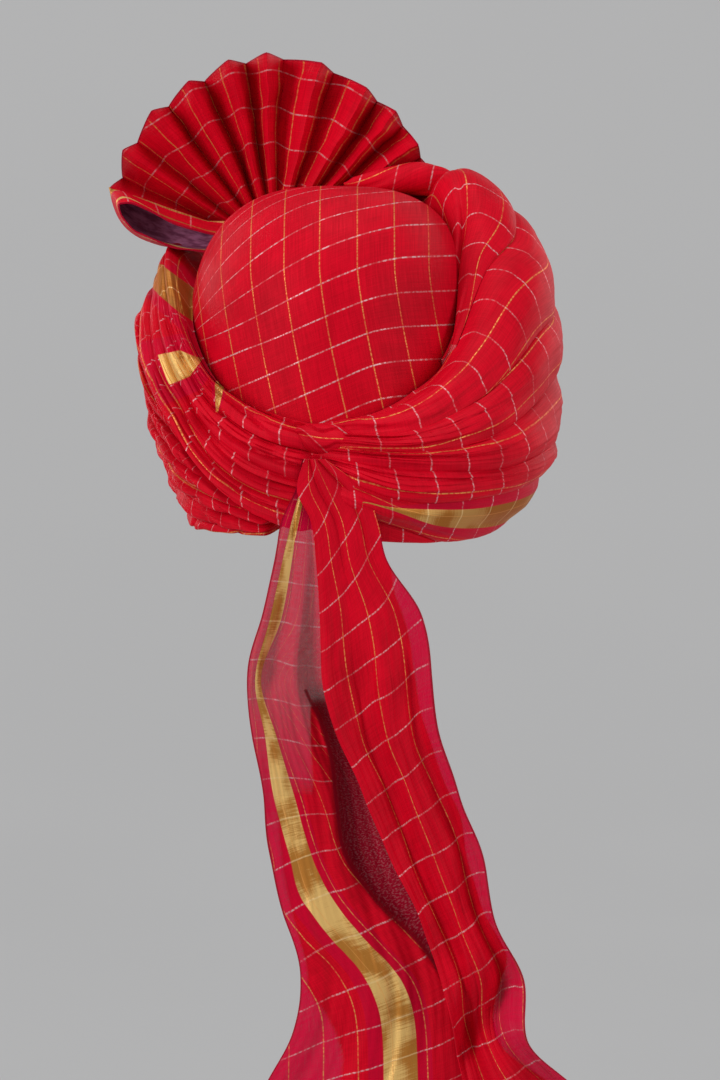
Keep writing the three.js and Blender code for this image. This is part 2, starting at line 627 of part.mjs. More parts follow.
function tailPanel(from, to, ripples, behind) {
  const at = (r, c, wall) => {
    const row = tailRows[r];
    const w = c / (tailColumns - 1);
    const freed = clamp(freeing * (row.drop - tuckedDrop), 0, 1) ** 2;
    const ripple = rippleDepth * Math.sin(2 * Math.PI * ripples * w + 2.2 * row.drop);
    const back = behind ? 2 * rippleDepth + panelGap : 0;
    return new THREE.Vector3(
      tailWidth * mix(row[from], row[to], w),
      -tailWidth * (row.stand + freed * (ripple - back)) + (behind ? tuckGap : 0) + wall,
      -tailDrop * row.drop,
    ).add(tailRoot);
  };
  const half = 0.5 * clothWall;
  return slab(tailRows.length, tailColumns, (r, c) => at(r, c, -half), (r, c) => at(r, c, half));
}

piece("tail_left_panel", tailPanel("sheerFrom", "sheerTo", sheerRipples, true), clothSheer);
piece("tail_right_panel", tailPanel("silkFrom", "silkTo", silkRipples, false), clothRed);

const fanWrap = fanWrapRings.map(({ x, y, z, half }) => ({
  centre: new THREE.Vector3(x, y, z),
  wide: new THREE.Vector3(0, half, 0),
  high: new THREE.Vector3(0, 0, half),
}));
piece("fan_wrap", largestBody(clearOf(solid(tube(fanWrap, rollSides)), topPuff)), clothRed);

export default turban;
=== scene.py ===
import math
import bpy
import numpy as np
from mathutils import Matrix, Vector, noise


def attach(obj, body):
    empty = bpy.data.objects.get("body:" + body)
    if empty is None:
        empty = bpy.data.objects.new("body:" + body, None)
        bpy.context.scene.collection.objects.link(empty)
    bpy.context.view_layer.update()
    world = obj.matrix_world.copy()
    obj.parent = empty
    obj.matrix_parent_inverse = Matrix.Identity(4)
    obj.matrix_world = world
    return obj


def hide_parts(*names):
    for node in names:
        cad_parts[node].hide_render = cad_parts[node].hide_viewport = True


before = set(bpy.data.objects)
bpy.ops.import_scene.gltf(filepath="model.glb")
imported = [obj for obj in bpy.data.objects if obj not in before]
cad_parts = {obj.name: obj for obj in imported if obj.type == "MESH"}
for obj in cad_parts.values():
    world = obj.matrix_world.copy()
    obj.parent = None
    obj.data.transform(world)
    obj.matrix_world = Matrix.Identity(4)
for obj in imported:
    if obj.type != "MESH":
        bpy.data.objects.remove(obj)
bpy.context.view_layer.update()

MM = 0.001

# Sizes shared with the solids
head_breadth = 164
head_length = 196
crown_height = 92
cap_wall = 3
wrap_height = 200
wrap_depth = 62
rim_edge = 8
seat_edge = 3.4
crown_gap = 1.5
fan_radius = 127
tail_drop = 362
tail_width = 100

cap_breadth = head_breadth / 2 + cap_wall
cap_length = head_length / 2 + cap_wall
dome_rise = crown_height + cap_wall

# Cloth sizes, read off the check
gold_gap = 21.5  # between the gold lines that run along the cloth
silver_gap = 24  # between the silver lines that cross it
border_half = 10.5  # half the width of the gold border
border_margin = 9  # plain cloth beside the border
no_border = 500  # border distance where a piece has none
no_lines = 500  # gap that leaves no line on a small piece


# Camera and light
def add_camera():
    """Camera behind the turban, about level with its crown and tilted down."""
    distance, rise = 2200, math.radians(5)
    shown_width, film_width = 439.2, 36
    aim = Vector((18, 0, -212))
    place = aim + Vector((0, -distance * math.cos(rise), distance * math.sin(rise)))
    data = bpy.data.cameras.new("camera")
    data.sensor_fit = "HORIZONTAL"
    data.sensor_width = film_width
    data.lens = film_width * distance / shown_width
    camera = bpy.data.objects.new("camera", data)
    camera.location = place * MM
    camera.rotation_euler = (math.radians(90) - rise, 0, 0)
    bpy.context.scene.collection.objects.link(camera)
    bpy.context.scene.camera = camera


def add_light(name, place, aim, size, power):
    data = bpy.data.lights.new(name, "AREA")
    data.shape = "RECTANGLE"
    data.size, data.size_y = size
    data.energy = power
    lamp = bpy.data.objects.new(name, data)
    lamp.location = place
    lamp.rotation_euler = (Vector(aim) - Vector(place)).to_track_quat("-Z", "Y").to_euler()
    bpy.context.scene.collection.objects.link(lamp)


add_camera()
add_light("key_light", (-1.7, -1.5, 0.6), (0, 0, -0.2), (0.8, 1.4), 33)
add_light("right_light", (1.9, -1.2, 0.2), (0, 0, -0.2), (0.7, 1.4), 15)
add_light("top_light", (0.1, -0.3, 1.9), (0, 0, 0), (1.0, 1.0), 16)
add_light("back_left_light", (-1.6, 1.5, 0.5), (0, 0, -0.1), (0.6, 1.2), 8)
add_light("back_right_light", (1.6, 1.6, 0.4), (0, 0, -0.1), (0.6, 1.2), 8)

world = bpy.data.worlds.new("studio")
world.use_nodes = True
world.node_tree.nodes["Background"].inputs["Color"].default_value = (0.72, 0.72, 0.73, 1)
world.node_tree.nodes["Background"].inputs["Strength"].default_value = 0.33
bpy.context.scene.world = world
bpy.context.scene.view_settings.view_transform = "Standard"


# Smooth curves and the ring's section
def smooth_curve(knots, values, x):
    """Value at x of a smooth curve through the knots; values may differ from sample to sample."""
    x = np.asarray(x, float)
    columns = [np.broadcast_to(np.asarray(v, float), x.shape) for v in values]
    table = np.stack(columns)
    last = len(knots) - 1
    i = np.searchsorted(np.asarray(knots[1:-1], float), x, side="left")
    ks = np.asarray(knots, float)

    def pick(k):
        return np.take_along_axis(table, k[None], 0)[0]

    def slope(k):
        before, after = np.maximum(0, k - 1), np.minimum(last, k + 1)
        return (pick(after) - pick(before)) / (ks[after] - ks[before])

    width = ks[i + 1] - ks[i]
    u = np.clip((x - ks[i]) / width, 0, 1)
    return (pick(i) * (2 * u ** 3 - 3 * u ** 2 + 1) + pick(i + 1) * (3 * u ** 2 - 2 * u ** 3)
            + slope(i) * width * (u ** 3 - 2 * u ** 2 + u) + slope(i + 1) * width * (u ** 3 - u ** 2))


def mix(a, b, share):
    return a + (b - a) * share


def ease(x):
    x = np.clip(x, 0, 1)
    return x * x * (3 - 2 * x)


# Cross-sections of the ring of wraps, as in the solids: one value every 45 degrees from the nape
# towards the wearer's right. Drops are shares of wrap_height, outs are shares of wrap_depth.
ring_sections = {
    "rim_drop": [0.985, 1.01, 0.93, 0.7, 0.59, 0.7, 0.91, 0.95],
    "rim_out": [0.22, 0.36, 0.38, 0.3, 0.24, 0.22, 0.14, 0.16],
    "belly_drop": [0.875, 0.825, 0.6, 0.45, 0.375, 0.47, 0.5, 0.79],
    "belly_out": [0.42, 0.7, 0.85, 0.78, 0.55, 0.5, 0.47, 0.37],
    "shoulder_drop": [0.76, 0.63, 0.15, 0.12, 0.14, 0.31, 0.31, 0.65],
    "shoulder_out": [0.37, 0.62, 0.65, 0.6, 0.48, 0.44, 0.36, 0.37],
    "crest_drop": [0.69, 0.52, -0.045, -0.045, 0.0, 0.18, 0.235, 0.565],
    "crest_out": [0.24, 0.34, 0.08, 0.04, 0.12, 0.2, 0.22, 0.25],
    "lip_drop": [0.675, 0.51, -0.01, -0.01, 0.0, 0.17, 0.24, 0.56],
    "lip_out": [0.14, 0.16, -0.27, -0.3, -0.2, 0.02, 0.1, 0.14],
    "seat_drop": [0.675, 0.53, 0.13, 0.12, 0.13, 0.22, 0.29, 0.585],
}
section_knots = [0, 0.1, 0.4, 0.65, 0.83, 0.93, 1]


def ring_column(column, degrees):
    turns = (np.asarray(degrees, float) % 360) / 45
    first = np.floor(turns).astype(int)
    table = np.asarray(ring_sections[column])
    values = [table[(first + k) % 8] for k in (-1, 0, 1, 2)]
    return smooth_curve([-1, 0, 1, 2], values, np.clip(turns - first, 1e-9, 1))


def dome_share(z):
    return np.where(z <= -crown_height, 1.0,
                    np.sqrt(np.maximum(0, 1 - ((z + crown_height) / dome_rise) ** 2)))


def stand_off(degrees, out, z):
    a = np.radians(degrees)
    nx, ny = cap_length * np.sin(a), -cap_breadth * np.cos(a)
    length = np.hypot(nx, ny)
    share = dome_share(z)
    return np.stack([cap_breadth * share * np.sin(a) + out * nx / length,
                     -cap_length * share * np.cos(a) + out * ny / length, z], -1)


def skin_point(degrees, t):
    degrees, t = np.broadcast_arrays(np.asarray(degrees, float), np.asarray(t, float))
    reach = np.hypot(cap_breadth * np.sin(np.radians(degrees)), cap_length * np.cos(np.radians(degrees)))
    parts = ("rim", "belly", "shoulder", "crest", "lip")
    outs = [wrap_depth * ring_column(n + "_out", degrees) for n in parts]
    drops = [-wrap_height * ring_column(n + "_drop", degrees) for n in parts + ("seat",)]
    outs = [rim_edge] + outs + [seat_edge - reach * (1 - dome_share(drops[-1]))]
    z = smooth_curve(section_knots, drops[:1] + drops, t)
    return stand_off(degrees, smooth_curve(section_knots, outs, t) + reach * (1 - dome_share(z)), z)


def inner_point(degrees, t):
    degrees, t = np.broadcast_arrays(np.asarray(degrees, float), np.asarray(t, float))
    z = -wrap_height * mix(ring_column("rim_drop", degrees), ring_column("seat_drop", degrees), t)
    return stand_off(degrees, crown_gap, z)


def lifted_point(degrees, t, lift):
    """Point beyond the skin, along the line out from the inside of the wraps."""
    inner, skin = inner_point(degrees, t), skin_point(degrees, t)
    ray = skin - inner
    ray /= np.maximum(1e-6, np.linalg.norm(ray, axis=-1, keepdims=True))
    return skin + ray * np.asarray(lift)[..., None]


def section_length(degrees, steps=24):
    t = np.linspace(0, 1, steps + 1)
    points = skin_point(np.asarray(degrees, float)[..., None], t)
    return np.linalg.norm(np.diff(points, axis=-2), axis=-1).sum(-1)


# Creases and soft dents
def wander(x, seed, rate=1.0):
    """Slow, smooth wavering between about -1 and 1."""
    rng = np.random.default_rng(seed)
    total = np.zeros_like(np.asarray(x, float))
    for k in range(1, 5):
        size, shift = rng.uniform(0.4, 1) / k, rng.uniform(0, 6.28)
        total += size * np.sin(rate * k * np.asarray(x) * 2 * np.pi + shift)
    return total / 1.6


def dents(points, size, seed):
    """Soft hollows and swellings of a loose cloth surface, -1 to 1, over points in millimetres."""
    flat = points.reshape(-1, 3) / np.asarray(size, float)
    shift = Vector((seed * 3.7, seed * 1.3, seed * 7.1))
    values = [noise.noise(Vector(p) + shift) for p in flat]
    return np.asarray(values).reshape(points.shape[:-1]) * 1.6


def tucks(w, s, count, seed, sharp=0.14, drift=0.5):
    """Overlapping tucks across w that waver along s: each rises sharply and sinks slowly."""
    phase = (w * count + drift * wander(s, seed)) % 1
    return ease(phase / sharp) * (1 - phase) ** 0.8


# Meshes of cloth
cap_thick, fold_thick, tail_thick = 2.4, 0.9, 0.7
smooth_angle = 50  # degrees; edges sharper than this stay sharp
weld_reach = 0.00002  # metres


def unit_grid(rows, columns):
    """Shares from 0 to 1 down the rows and across the columns of a grid."""
    return np.meshgrid(np.linspace(0, 1, rows), np.linspace(0, 1, columns), indexing="ij")


def pair(first, second):
    """Two numbers at each point of a grid, as a map of the cloth has them."""
    return np.stack(np.broadcast_arrays(first, second), -1)


def distances(points, axis):
    """Running length along an axis of a grid of points."""
    steps = np.linalg.norm(np.diff(points, axis=axis), axis=-1)
    start = np.zeros_like(np.take(steps, [0], axis))
    return np.concatenate([start, np.cumsum(steps, axis)], axis)


def plain_grid(name, across, along):
    bpy.ops.object.select_all(action="DESELECT")
    bpy.ops.mesh.primitive_grid_add(x_subdivisions=across, y_subdivisions=along, size=2, calc_uvs=True,
                                    location=(0, 0, 0))
    bpy.context.object.name = name
    return bpy.context.object


def grid_piece(name, points, cloth, border, layers=None):
    """Grid of cloth: points[row, column]. Its check and its border distances are two UV maps. A third
    says how far the cloth is doubled, and how far its inside shows, where it is painted in shade, from 0
    to 1."""
    rows, columns = points.shape[:2]
    piece = plain_grid(name, rows - 1, columns - 1)
    mesh = piece.data
    mesh.name = name
    if len(mesh.vertices) != rows * columns:
        raise RuntimeError(f"{name}: grid has {len(mesh.vertices)} points, not {rows * columns}")
    ordered = points.transpose(1, 0, 2).reshape(-1, 3) * MM
    mesh.vertices.foreach_set("co", ordered.ravel())
    unit = np.empty(2 * len(mesh.loops))
    mesh.uv_layers[0].data.foreach_get("uv", unit)
    unit = unit.reshape(-1, 2)
    r = np.rint(unit[:, 0] * (rows - 1)).astype(int)
    c = np.rint(unit[:, 1] * (columns - 1)).astype(int)
    mesh.uv_layers[0].name = "cloth"
    mesh.uv_layers["cloth"].data.foreach_set("uv", (cloth[r, c] * MM).ravel())
    layer = mesh.uv_layers.new(name="border")
    layer.data.foreach_set("uv", (border[r, c] * MM).ravel())
    if layers is not None:
        layer = mesh.uv_layers.new(name="layers")
        layer.data.foreach_set("uv", layers[r, c].ravel())
    mesh.uv_layers.active = mesh.uv_layers["cloth"]
    mesh.update()
    return piece


def give_wall(piece, thickness, offset=-1.0):
    """Closes a grid into a sheet of even thickness."""
    solidify = piece.modifiers.new("wall", "SOLIDIFY")
    solidify.thickness = thickness * MM
    solidify.offset = offset
    solidify.use_even_offset = False
    bpy.context.view_layer.objects.active = piece
    bpy.ops.object.modifier_apply(modifier=solidify.name)


def give_back(piece, inner):
    """Closes a grid into a padded turn whose underside lies at the inner points."""
    give_wall(piece, 1.0)
    mesh = piece.data
    count = inner.shape[0] * inner.shape[1]
    co = np.empty(3 * len(mesh.vertices))
    mesh.vertices.foreach_get("co", co)
    co = co.reshape(-1, 3)
    co[count:2 * count] = inner.transpose(1, 0, 2).reshape(-1, 3) * MM
    mesh.vertices.foreach_set("co", co.ravel())
    mesh.update()


def dress(piece, material, nodes):
    piece.data.materials.clear()
    piece.data.materials.append(material)
    bpy.ops.object.select_all(action="DESELECT")
    piece.select_set(True)
    bpy.context.view_layer.objects.active = piece
    bpy.ops.object.shade_smooth_by_angle(angle=math.radians(smooth_angle))
    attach(piece, "root")
    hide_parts(*nodes)


# Finishes
class Share:
    """A number that varies over a surface, written with ordinary arithmetic."""

    def __init__(self, finish, socket):
        self.finish, self.socket = finish, socket

    def maths(self, operation, *others):
        values = {i: (o.socket if isinstance(o, Share) else o) for i, o in enumerate((self,) + others)}
        return Share(self.finish, self.finish.node("ShaderNodeMath", {"operation": operation}, values)[0])

    def __add__(self, other):
        return self.maths("ADD", other)

    def __sub__(self, other):
        return self.maths("SUBTRACT", other)

    def __rsub__(self, other):
        return (self * -1) + other

    def __mul__(self, other):
        return self.maths("MULTIPLY", other)

    __radd__ = __add__

    def size(self):
        return self.maths("ABSOLUTE")

    def top(self, other):
        return self.maths("MAXIMUM", other)

    def between(self, low, high, start=0.0, end=1.0):
        """Smooth step from start to end as the number goes from low to high."""
        return Share(self.finish, self.finish.node(
            "ShaderNodeMapRange", {"interpolation_type": "SMOOTHSTEP", "clamp": True},
            {"Value": self.socket, "From Min": low, "From Max": high, "To Min": start, "To Max": end})[0])

    def to_line(self, gap):
        """Distance to the nearest of a set of lines a gap apart."""
        return Share(self.finish, self.finish.node(
            "ShaderNodeMath", {"operation": "PINGPONG"}, {0: self.socket, 1: gap / 2})[0])


class Finish:
    """One material, built by naming each node with its settings and sockets."""

    def __init__(self, name):
        self.material = bpy.data.materials.new(name)
        self.material.use_nodes = True
        self.tree = self.material.node_tree
        self.tree.nodes.clear()

    def node(self, kind, settings=None, sockets=None):
        made = self.tree.nodes.new(kind)
        for key, value in (settings or {}).items():
            setattr(made, key, value)
        for key, value in (sockets or {}).items():
            if isinstance(value, Share):
                value = value.socket
            if isinstance(value, bpy.types.NodeSocket):
                self.tree.links.new(value, made.inputs[key])
            else:
                made.inputs[key].default_value = value
        return made.outputs

    def share(self, kind, settings=None, sockets=None):
        return Share(self, self.node(kind, settings, sockets)[0])

    def colour_mix(self, share, first, second):
        """Colour from first to second as the share goes from 0 to 1."""
        return self.node("ShaderNodeMix", {"data_type": "RGBA"}, {0: share, 6: first, 7: second})[2]

    def uv(self, name):
        return self.node("ShaderNodeUVMap", {"uv_map": name})[0]

    def split(self, vector):
        """The three numbers of a vector."""
        return [Share(self, part) for part in self.node("ShaderNodeSeparateXYZ", {}, {0: vector})]

    def place(self):
        """How far right, forward and up a point lies on the part, in metres."""
        return self.split(self.node("ShaderNodeTexCoord")["Object"])

    def streaks(self, length, width, detail=2.0):
        """Noise over the cloth map, with grains of this length and width in millimetres."""
        stretched = self.node("ShaderNodeMapping", {"vector_type": "POINT"},
                              {0: self.uv("cloth"), 3: (1 / (length * MM), 1 / (width * MM), 1)})[0]
        return self.share("ShaderNodeTexNoise", {"noise_dimensions": "2D"},
                          {"Vector": stretched, "Scale": 1.0, "Detail": detail, "Roughness": 0.6})

    def cover_with(self, surface):
        self.node("ShaderNodeOutputMaterial", {}, {"Surface": surface})
        return self.material


red_bright = (0.66, 0.0015, 0.016, 1)
red_deep = (0.42, 0.0008, 0.009, 1)
red_magenta = (0.46, 0.001, 0.032, 1)
thread_gold = (0.80, 0.36, 0.10, 1)
thread_silver = (0.74, 0.50, 0.52, 1)
border_gold = (0.78, 0.50, 0.17, 1)
border_copper = (0.46, 0.19, 0.035, 1)
border_shade = (0.32, 0.10, 0.016, 1)
border_glint = (0.85, 0.62, 0.3, 1)
# maroon of the selvedge line; where the line follows the sheer panel's fold it is a painted fold shadow
selvedge_and_fold_shadow_colour = (0.34, 0.001, 0.018, 1)
# painted shade for the inside of the sheer panel's fold
fold_inside_painted_shade = (0.27, 0.001, 0.017, 1)
inside_plum = (0.46, 0.16, 0.30, 1)
inside_shade = (0.22, 0.05, 0.12, 1)
sheer_wine = (0.60, 0.002, 0.040, 1)
paper_dark = (0.29, 0.29, 0.295, 1)
paper_pale = (0.31, 0.31, 0.315, 1)

# Lines of the cloth: full up to the first distance from the middle and gone at the second, in metres
gold_thread = (0.00015, 0.0005)
silver_thread = (0.0002, 0.00065)
# the selvedge line is also drawn along the sheer panel's fold as a painted fold shadow
selvedge_and_fold_shadow_width = (0.0005, 0.0013)


def silk(name, sheer=False, gold_show=0.8, silver_show=0.65, gap=(gold_gap, silver_gap), painted_border_shade=False):
    """Checked silk tissue. Its cloth map gives the distance along and across the cloth, its border
    map the distance from the middle of the gold border and from the woven edge of the cloth; on the
    sheer panel also from the turned edge of its fold, where the dark edge line is a painted fold shadow.
    Sheer cloth has a third map, of where it is doubled and where its inside shows, painted in shade."""
    f = Finish(name)
    along, across, _ = f.split(f.uv("cloth"))
    from_border, from_edge, _ = f.split(f.uv("border"))

    slub_along = f.streaks(22, 0.8)
    slub_across = f.streaks(0.8, 22)
    clouds = f.streaks(34, 26)
    glint = f.streaks(1.6, 3.0, 0.0)
    glint_across = f.streaks(3.0, 1.6, 0.0)
    patchy = f.streaks(26, 26, 1.0)

    gold_line = across.to_line(gap[0] * MM).between(*gold_thread, 1.0, 0.0)
    silver_line = along.to_line(gap[1] * MM).between(*silver_thread, 1.0, 0.0)
    gold_mask = (gold_line * (glint.between(0.34, 0.6) * 0.7 + 0.3)
                 * patchy.between(0.3, 0.6, 0.45, 1.0) * gold_show)
    silver_mask = (silver_line * (glint_across.between(0.38, 0.62) * 0.75 + 0.25)
                   * clouds.between(0.36, 0.6, 0.3, 1.0) * silver_show)
    band = from_border.size().between((border_half - 0.3) * MM, (border_half + 0.3) * MM, 1.0, 0.0)
    margin = border_half + border_margin
    strip = from_border.size().between(margin * MM, (margin + 1) * MM, 1.0, 0.0)
    selvedge_and_fold_shadow = from_edge.size().between(*selvedge_and_fold_shadow_width, 1.0, 0.0)
    tone = (slub_along * 0.45 + slub_across * 0.3 + clouds * 0.4).between(0.3, 0.85)
    base = f.colour_mix(tone, red_deep, red_bright)
    if sheer:
        doubled, inside, _ = f.split(f.uv("layers"))
        base = f.colour_mix(doubled, sheer_wine, base)
    base = f.colour_mix(strip * 0.5, base, red_magenta)
    base = f.colour_mix(gold_mask, base, thread_gold)
    base = f.colour_mix(silver_mask, base, thread_silver)
    weave = slub_across * 0.5 + slub_along * 0.2 + patchy * 0.3
    gold = f.colour_mix((weave + patchy * 0.9).between(0.78, 1.12), border_copper, border_gold)
    if painted_border_shade:  # painted shade: the gold border is darkened to a shaded copper on the upper left and along the right of the hem
        right, _, height = f.place()
        border_shade_mask = (right.between(0.04, 0.07) * 0.6).top(height.between(-0.085, -0.075) * 0.85)
        gold = f.colour_mix(border_shade_mask, gold, border_shade)
    gold = f.colour_mix(gold_line * 0.4, gold, thread_gold)
    gold = f.colour_mix(silver_line * 0.5, gold, border_glint)
    base = f.colour_mix(band, base, gold)
    if sheer:
        moire = f.streaks(0.9, 2.6, 1.0).between(0.46, 0.7)
        # painted shade: the inside of the sheer panel's fold is darkened; the doubled cloth there is
        # opaque
        base = f.colour_mix(inside * 0.9, base, fold_inside_painted_shade)
        base = f.colour_mix(inside * moire * 0.13, base, thread_silver)
    # maroon selvedge line, and a painted fold shadow line where it follows the sheer panel's turned edge
    base = f.colour_mix(selvedge_and_fold_shadow, base, selvedge_and_fold_shadow_colour)

    metal = (gold_mask * 0.75).top(silver_mask * 0.7).top(band * 0.6)
    rough = 0.5 - metal * 0.14 + (1 - slub_along) * 0.12
    relief = (slub_along + slub_across) * 0.4 + (gold_mask + silver_mask) * 0.8 + band * weave * 0.5
    bump = f.node("ShaderNodeBump", {}, {"Strength": 0.4, "Distance": 0.0004, "Height": relief})[0]
    shader = f.node("ShaderNodeBsdfPrincipled", {}, {
        "Base Color": base, "Metallic": metal, "Roughness": rough, "Normal": bump,
        "Specular IOR Level": 0.12, "Specular Tint": (1, 0.4, 0.45, 1)})
    surface = shader[0]
    if sheer:
        threads = (slub_along * 0.5 + slub_across * 0.5).between(0.3, 0.7, 0.8, 0.94)
        right, _, height = f.place()
        upper_left = height.between(-0.36, -0.28) * right.between(0.0, 0.02, 1.0, 0.0)
        threads = threads - upper_left * 0.2
        cover = threads.top(gold_mask * 0.9).top(silver_mask * 0.8)
        cover = cover.top(band * 0.93).top(selvedge_and_fold_shadow * 0.9).top(doubled).top(inside)
        clear = f.node("ShaderNodeBsdfTransparent")[0]
        surface = f.node("ShaderNodeMixShader", {}, {0: cover, 1: clear, 2: surface})[0]
    return f.cover_with(surface)


# its gold border gets painted shade in two places
silk_check = silk("red_check_silk", painted_border_shade=True)
silk_crown = silk("crown_silk", gold_show=0.7, silver_show=0.85, gap=(21, 20.5))
silk_fan = silk("fan_silk", silver_show=0.6, gap=(12.5, 22))
silk_sheer = silk("sheer_silk", sheer=True)
silk_loop = silk("loop_silk", gap=(no_lines, 22))


def silk_inside():
    """Wrong side of the cloth, as it shows in the open loop: matt plum with a fine weave, and red
    with a gold line next to the mouth."""
    f = Finish("inside_silk")
    slub = f.streaks(1000 / 120, 1000 / 1100)
    base = f.colour_mix(slub.between(0.3, 0.7), inside_shade, inside_plum)
    _, from_edge, _ = f.split(f.uv("border"))
    base = f.colour_mix(from_edge.between(0.0035, 0.004, 1.0, 0.0), base, red_deep)
    gold = (from_edge - 0.0055).size().between(0.0015, 0.0019, 1.0, 0.0)
    base = f.colour_mix(gold, base, border_gold)
    bump = f.node("ShaderNodeBump", {}, {"Strength": 0.3, "Distance": 0.0003, "Height": slub})[0]
    shader = f.node("ShaderNodeBsdfPrincipled", {}, {
        "Base Color": base, "Roughness": 0.65 + slub * 0.1, "Normal": bump, "Specular IOR Level": 0.2})
    return f.cover_with(shader[0])


silk_wrong_side = silk_inside()


# Crown cloth
def crown_cap():
    """Smooth cloth over the crown; its check is drawn over the back and runs on over the top."""
    cap_tuck = 0.11
    check_bend, check_start = 112, 5.5  # the check closes up towards the sides as on a drum
    turn, climb = unit_grid(160, 72)
    turn, climb = 360 * turn, climb ** 0.9
    low = -wrap_height * (ring_column("seat_drop", turn) + cap_tuck) + crown_height
    height = mix(np.maximum(-1, low / dome_rise), 1, climb)
    lean = 0.5 * np.pi * np.maximum(0, height)
    a = np.radians(turn)
    fullness = 0.72 - 0.06 * np.sin(a)  # 1 is a plain ellipse, less has fuller shoulders
    z = np.where(height < 0, height * dome_rise, dome_rise * np.sin(lean) ** fullness)
    share = np.where(height < 0, 1, np.maximum(0, np.cos(lean)) ** fullness)
    x, y, z = cap_breadth * share * np.sin(a), -cap_length * share * np.cos(a), z - crown_height
    points = np.stack([x, y, z], -1)
    arc = cap_length * np.arctan2(z + crown_height, -y * dome_rise / cap_length)
    arc = np.where(z < -crown_height, z + crown_height + np.where(y > 0, cap_length * np.pi, 0), arc)
    level = cap_length * np.arctan2(z + crown_height, share * dome_rise)
    arc = mix(arc, level, ease(x / 45) * ease((30 - y) / 40) * (z > -crown_height))
    slant = np.where(x < 15, 0.44 * x, 6.6 + 6.8 * np.tanh((x - 15) / 16))
    bow = 15 * np.clip((-45 - z) / 85, 0, 1.3) ** 1.3 + 0.06 * np.maximum(0, x)
    across = check_bend * np.arcsin(np.clip((x - bow * (y < 40)) / check_bend, -1, 1)) + check_start
    cloth = pair(arc - slant, across)
    piece = grid_piece("crown_cloth", points, cloth, np.full_like(cloth, no_border))
    join_ends(piece)
    give_wall(piece, cap_thick)
    dress(piece, silk_crown, ["crown_cap"])


def join_ends(piece, close=False):
    """Welds the two ends of a grid that goes right round; a tube's open ends can be closed too."""
    bpy.context.view_layer.objects.active = piece
    bpy.ops.object.mode_set(mode="EDIT")
    bpy.ops.mesh.select_all(action="SELECT")
    bpy.ops.mesh.remove_doubles(threshold=weld_reach)
    if close:
        bpy.ops.mesh.select_all(action="SELECT")
        bpy.ops.mesh.fill_holes(sides=0)
        bpy.ops.mesh.normals_make_consistent(inside=False)
    bpy.ops.object.mode_set(mode="OBJECT")


crown_cap()


# Wound turns
# How one turn folds across its width: from its tucked start, round the proud folded edge, over the
# body of the turn to the part that goes in under the turn above.
flat_fold = [
    # share of the grid, share of the width, millimetres past it, lift in millimetres
    (0, 0, 6, -6),
    (0.05, 0, 0.5, -3),
    (0.09, 0, -3.6, 0.2),
    (0.13, 0, -3.8, 3.6),
    (0.18, 0.02, -1, 5.6),
    (0.45, 0.32, 0, 5.6),
    (0.75, 0.74, 0, 2.6),
    (0.93, 0.98, 0, -1.8),
    (1, 1, 4, -5),
]
plump_fold = [
    (0, 0, 6, -8),
    (0.05, 0, 1.2, -5),
    (0.1, 0, -2.4, -1),
    (0.16, 0, -3, 3),
    (0.25, 0.06, -1, 6.4),
    (0.42, 0.28, 0, 8.4),
    (0.62, 0.56, 0, 7.8),
    (0.82, 0.85, 0, 3.4),
    (0.94, 0.99, 0, -2.4),
    (1, 1, 3, -6),
]


# Lower edge of the bundle, by direction, as a share of the ring's section
bundle_at = [212, 240, 265, 285, 298, 310, 318, 332, 341, 356]
bundle_edge = [0.86, 0.66, 0.53, 0.45, 0.46, 0.48, 0.4, 0.27, 0.2, 0.12]


def tuck_right(degrees, t):
    """1 where the turns of the right side start, under the bundle at the nape, 0 away from it."""
    return 1 - ease((degrees + 14) / 24)


def tuck_left(degrees, t):
    """1 where the turns of the left side lie under the bundle, or end at the nape."""
    low = smooth_curve(bundle_at, bundle_edge, np.clip(degrees, bundle_at[0], bundle_at[-1]))
    covered = ease((degrees - 208) / 8) * ease((t - low + 0.01) / 0.05)
    return np.maximum(covered, 1 - ease((345 - degrees) / 5))


# How far the turns bed in under the skin of the solids, by height, in millimetres
bed_right = {
    "height": [-195, -186, -175, -150, -138, -125, -100, -65, -45, -28, -10, 10],
    "depth": [2, -2.5, -4, -2, 1, 2.5, 2.5, 2, 3.5, 5.5, 7, 7.5],
}
bed_left = {
    "height": [-195, -184, -175, -166, -157, -147, -138, -120, -101, -83, -70, -50],
    "depth": [17, 15, 12.5, 12, 10, 8, 9.5, 10, 8.5, 7, 8, 8],
    "hem_from": 288,  # past this direction the lowest turns hang to the full depth of the rim
}
bed_bundle = {"height": [-150, -110, -80, -62, -52, -40], "depth": [1, 2, 4, 5.5, 1.5, -3]}
hem_height = -130  # the fading starts here and goes on down


def tuck_bundle(degrees, t):
    return 1 - ease((359 - degrees) / 9)


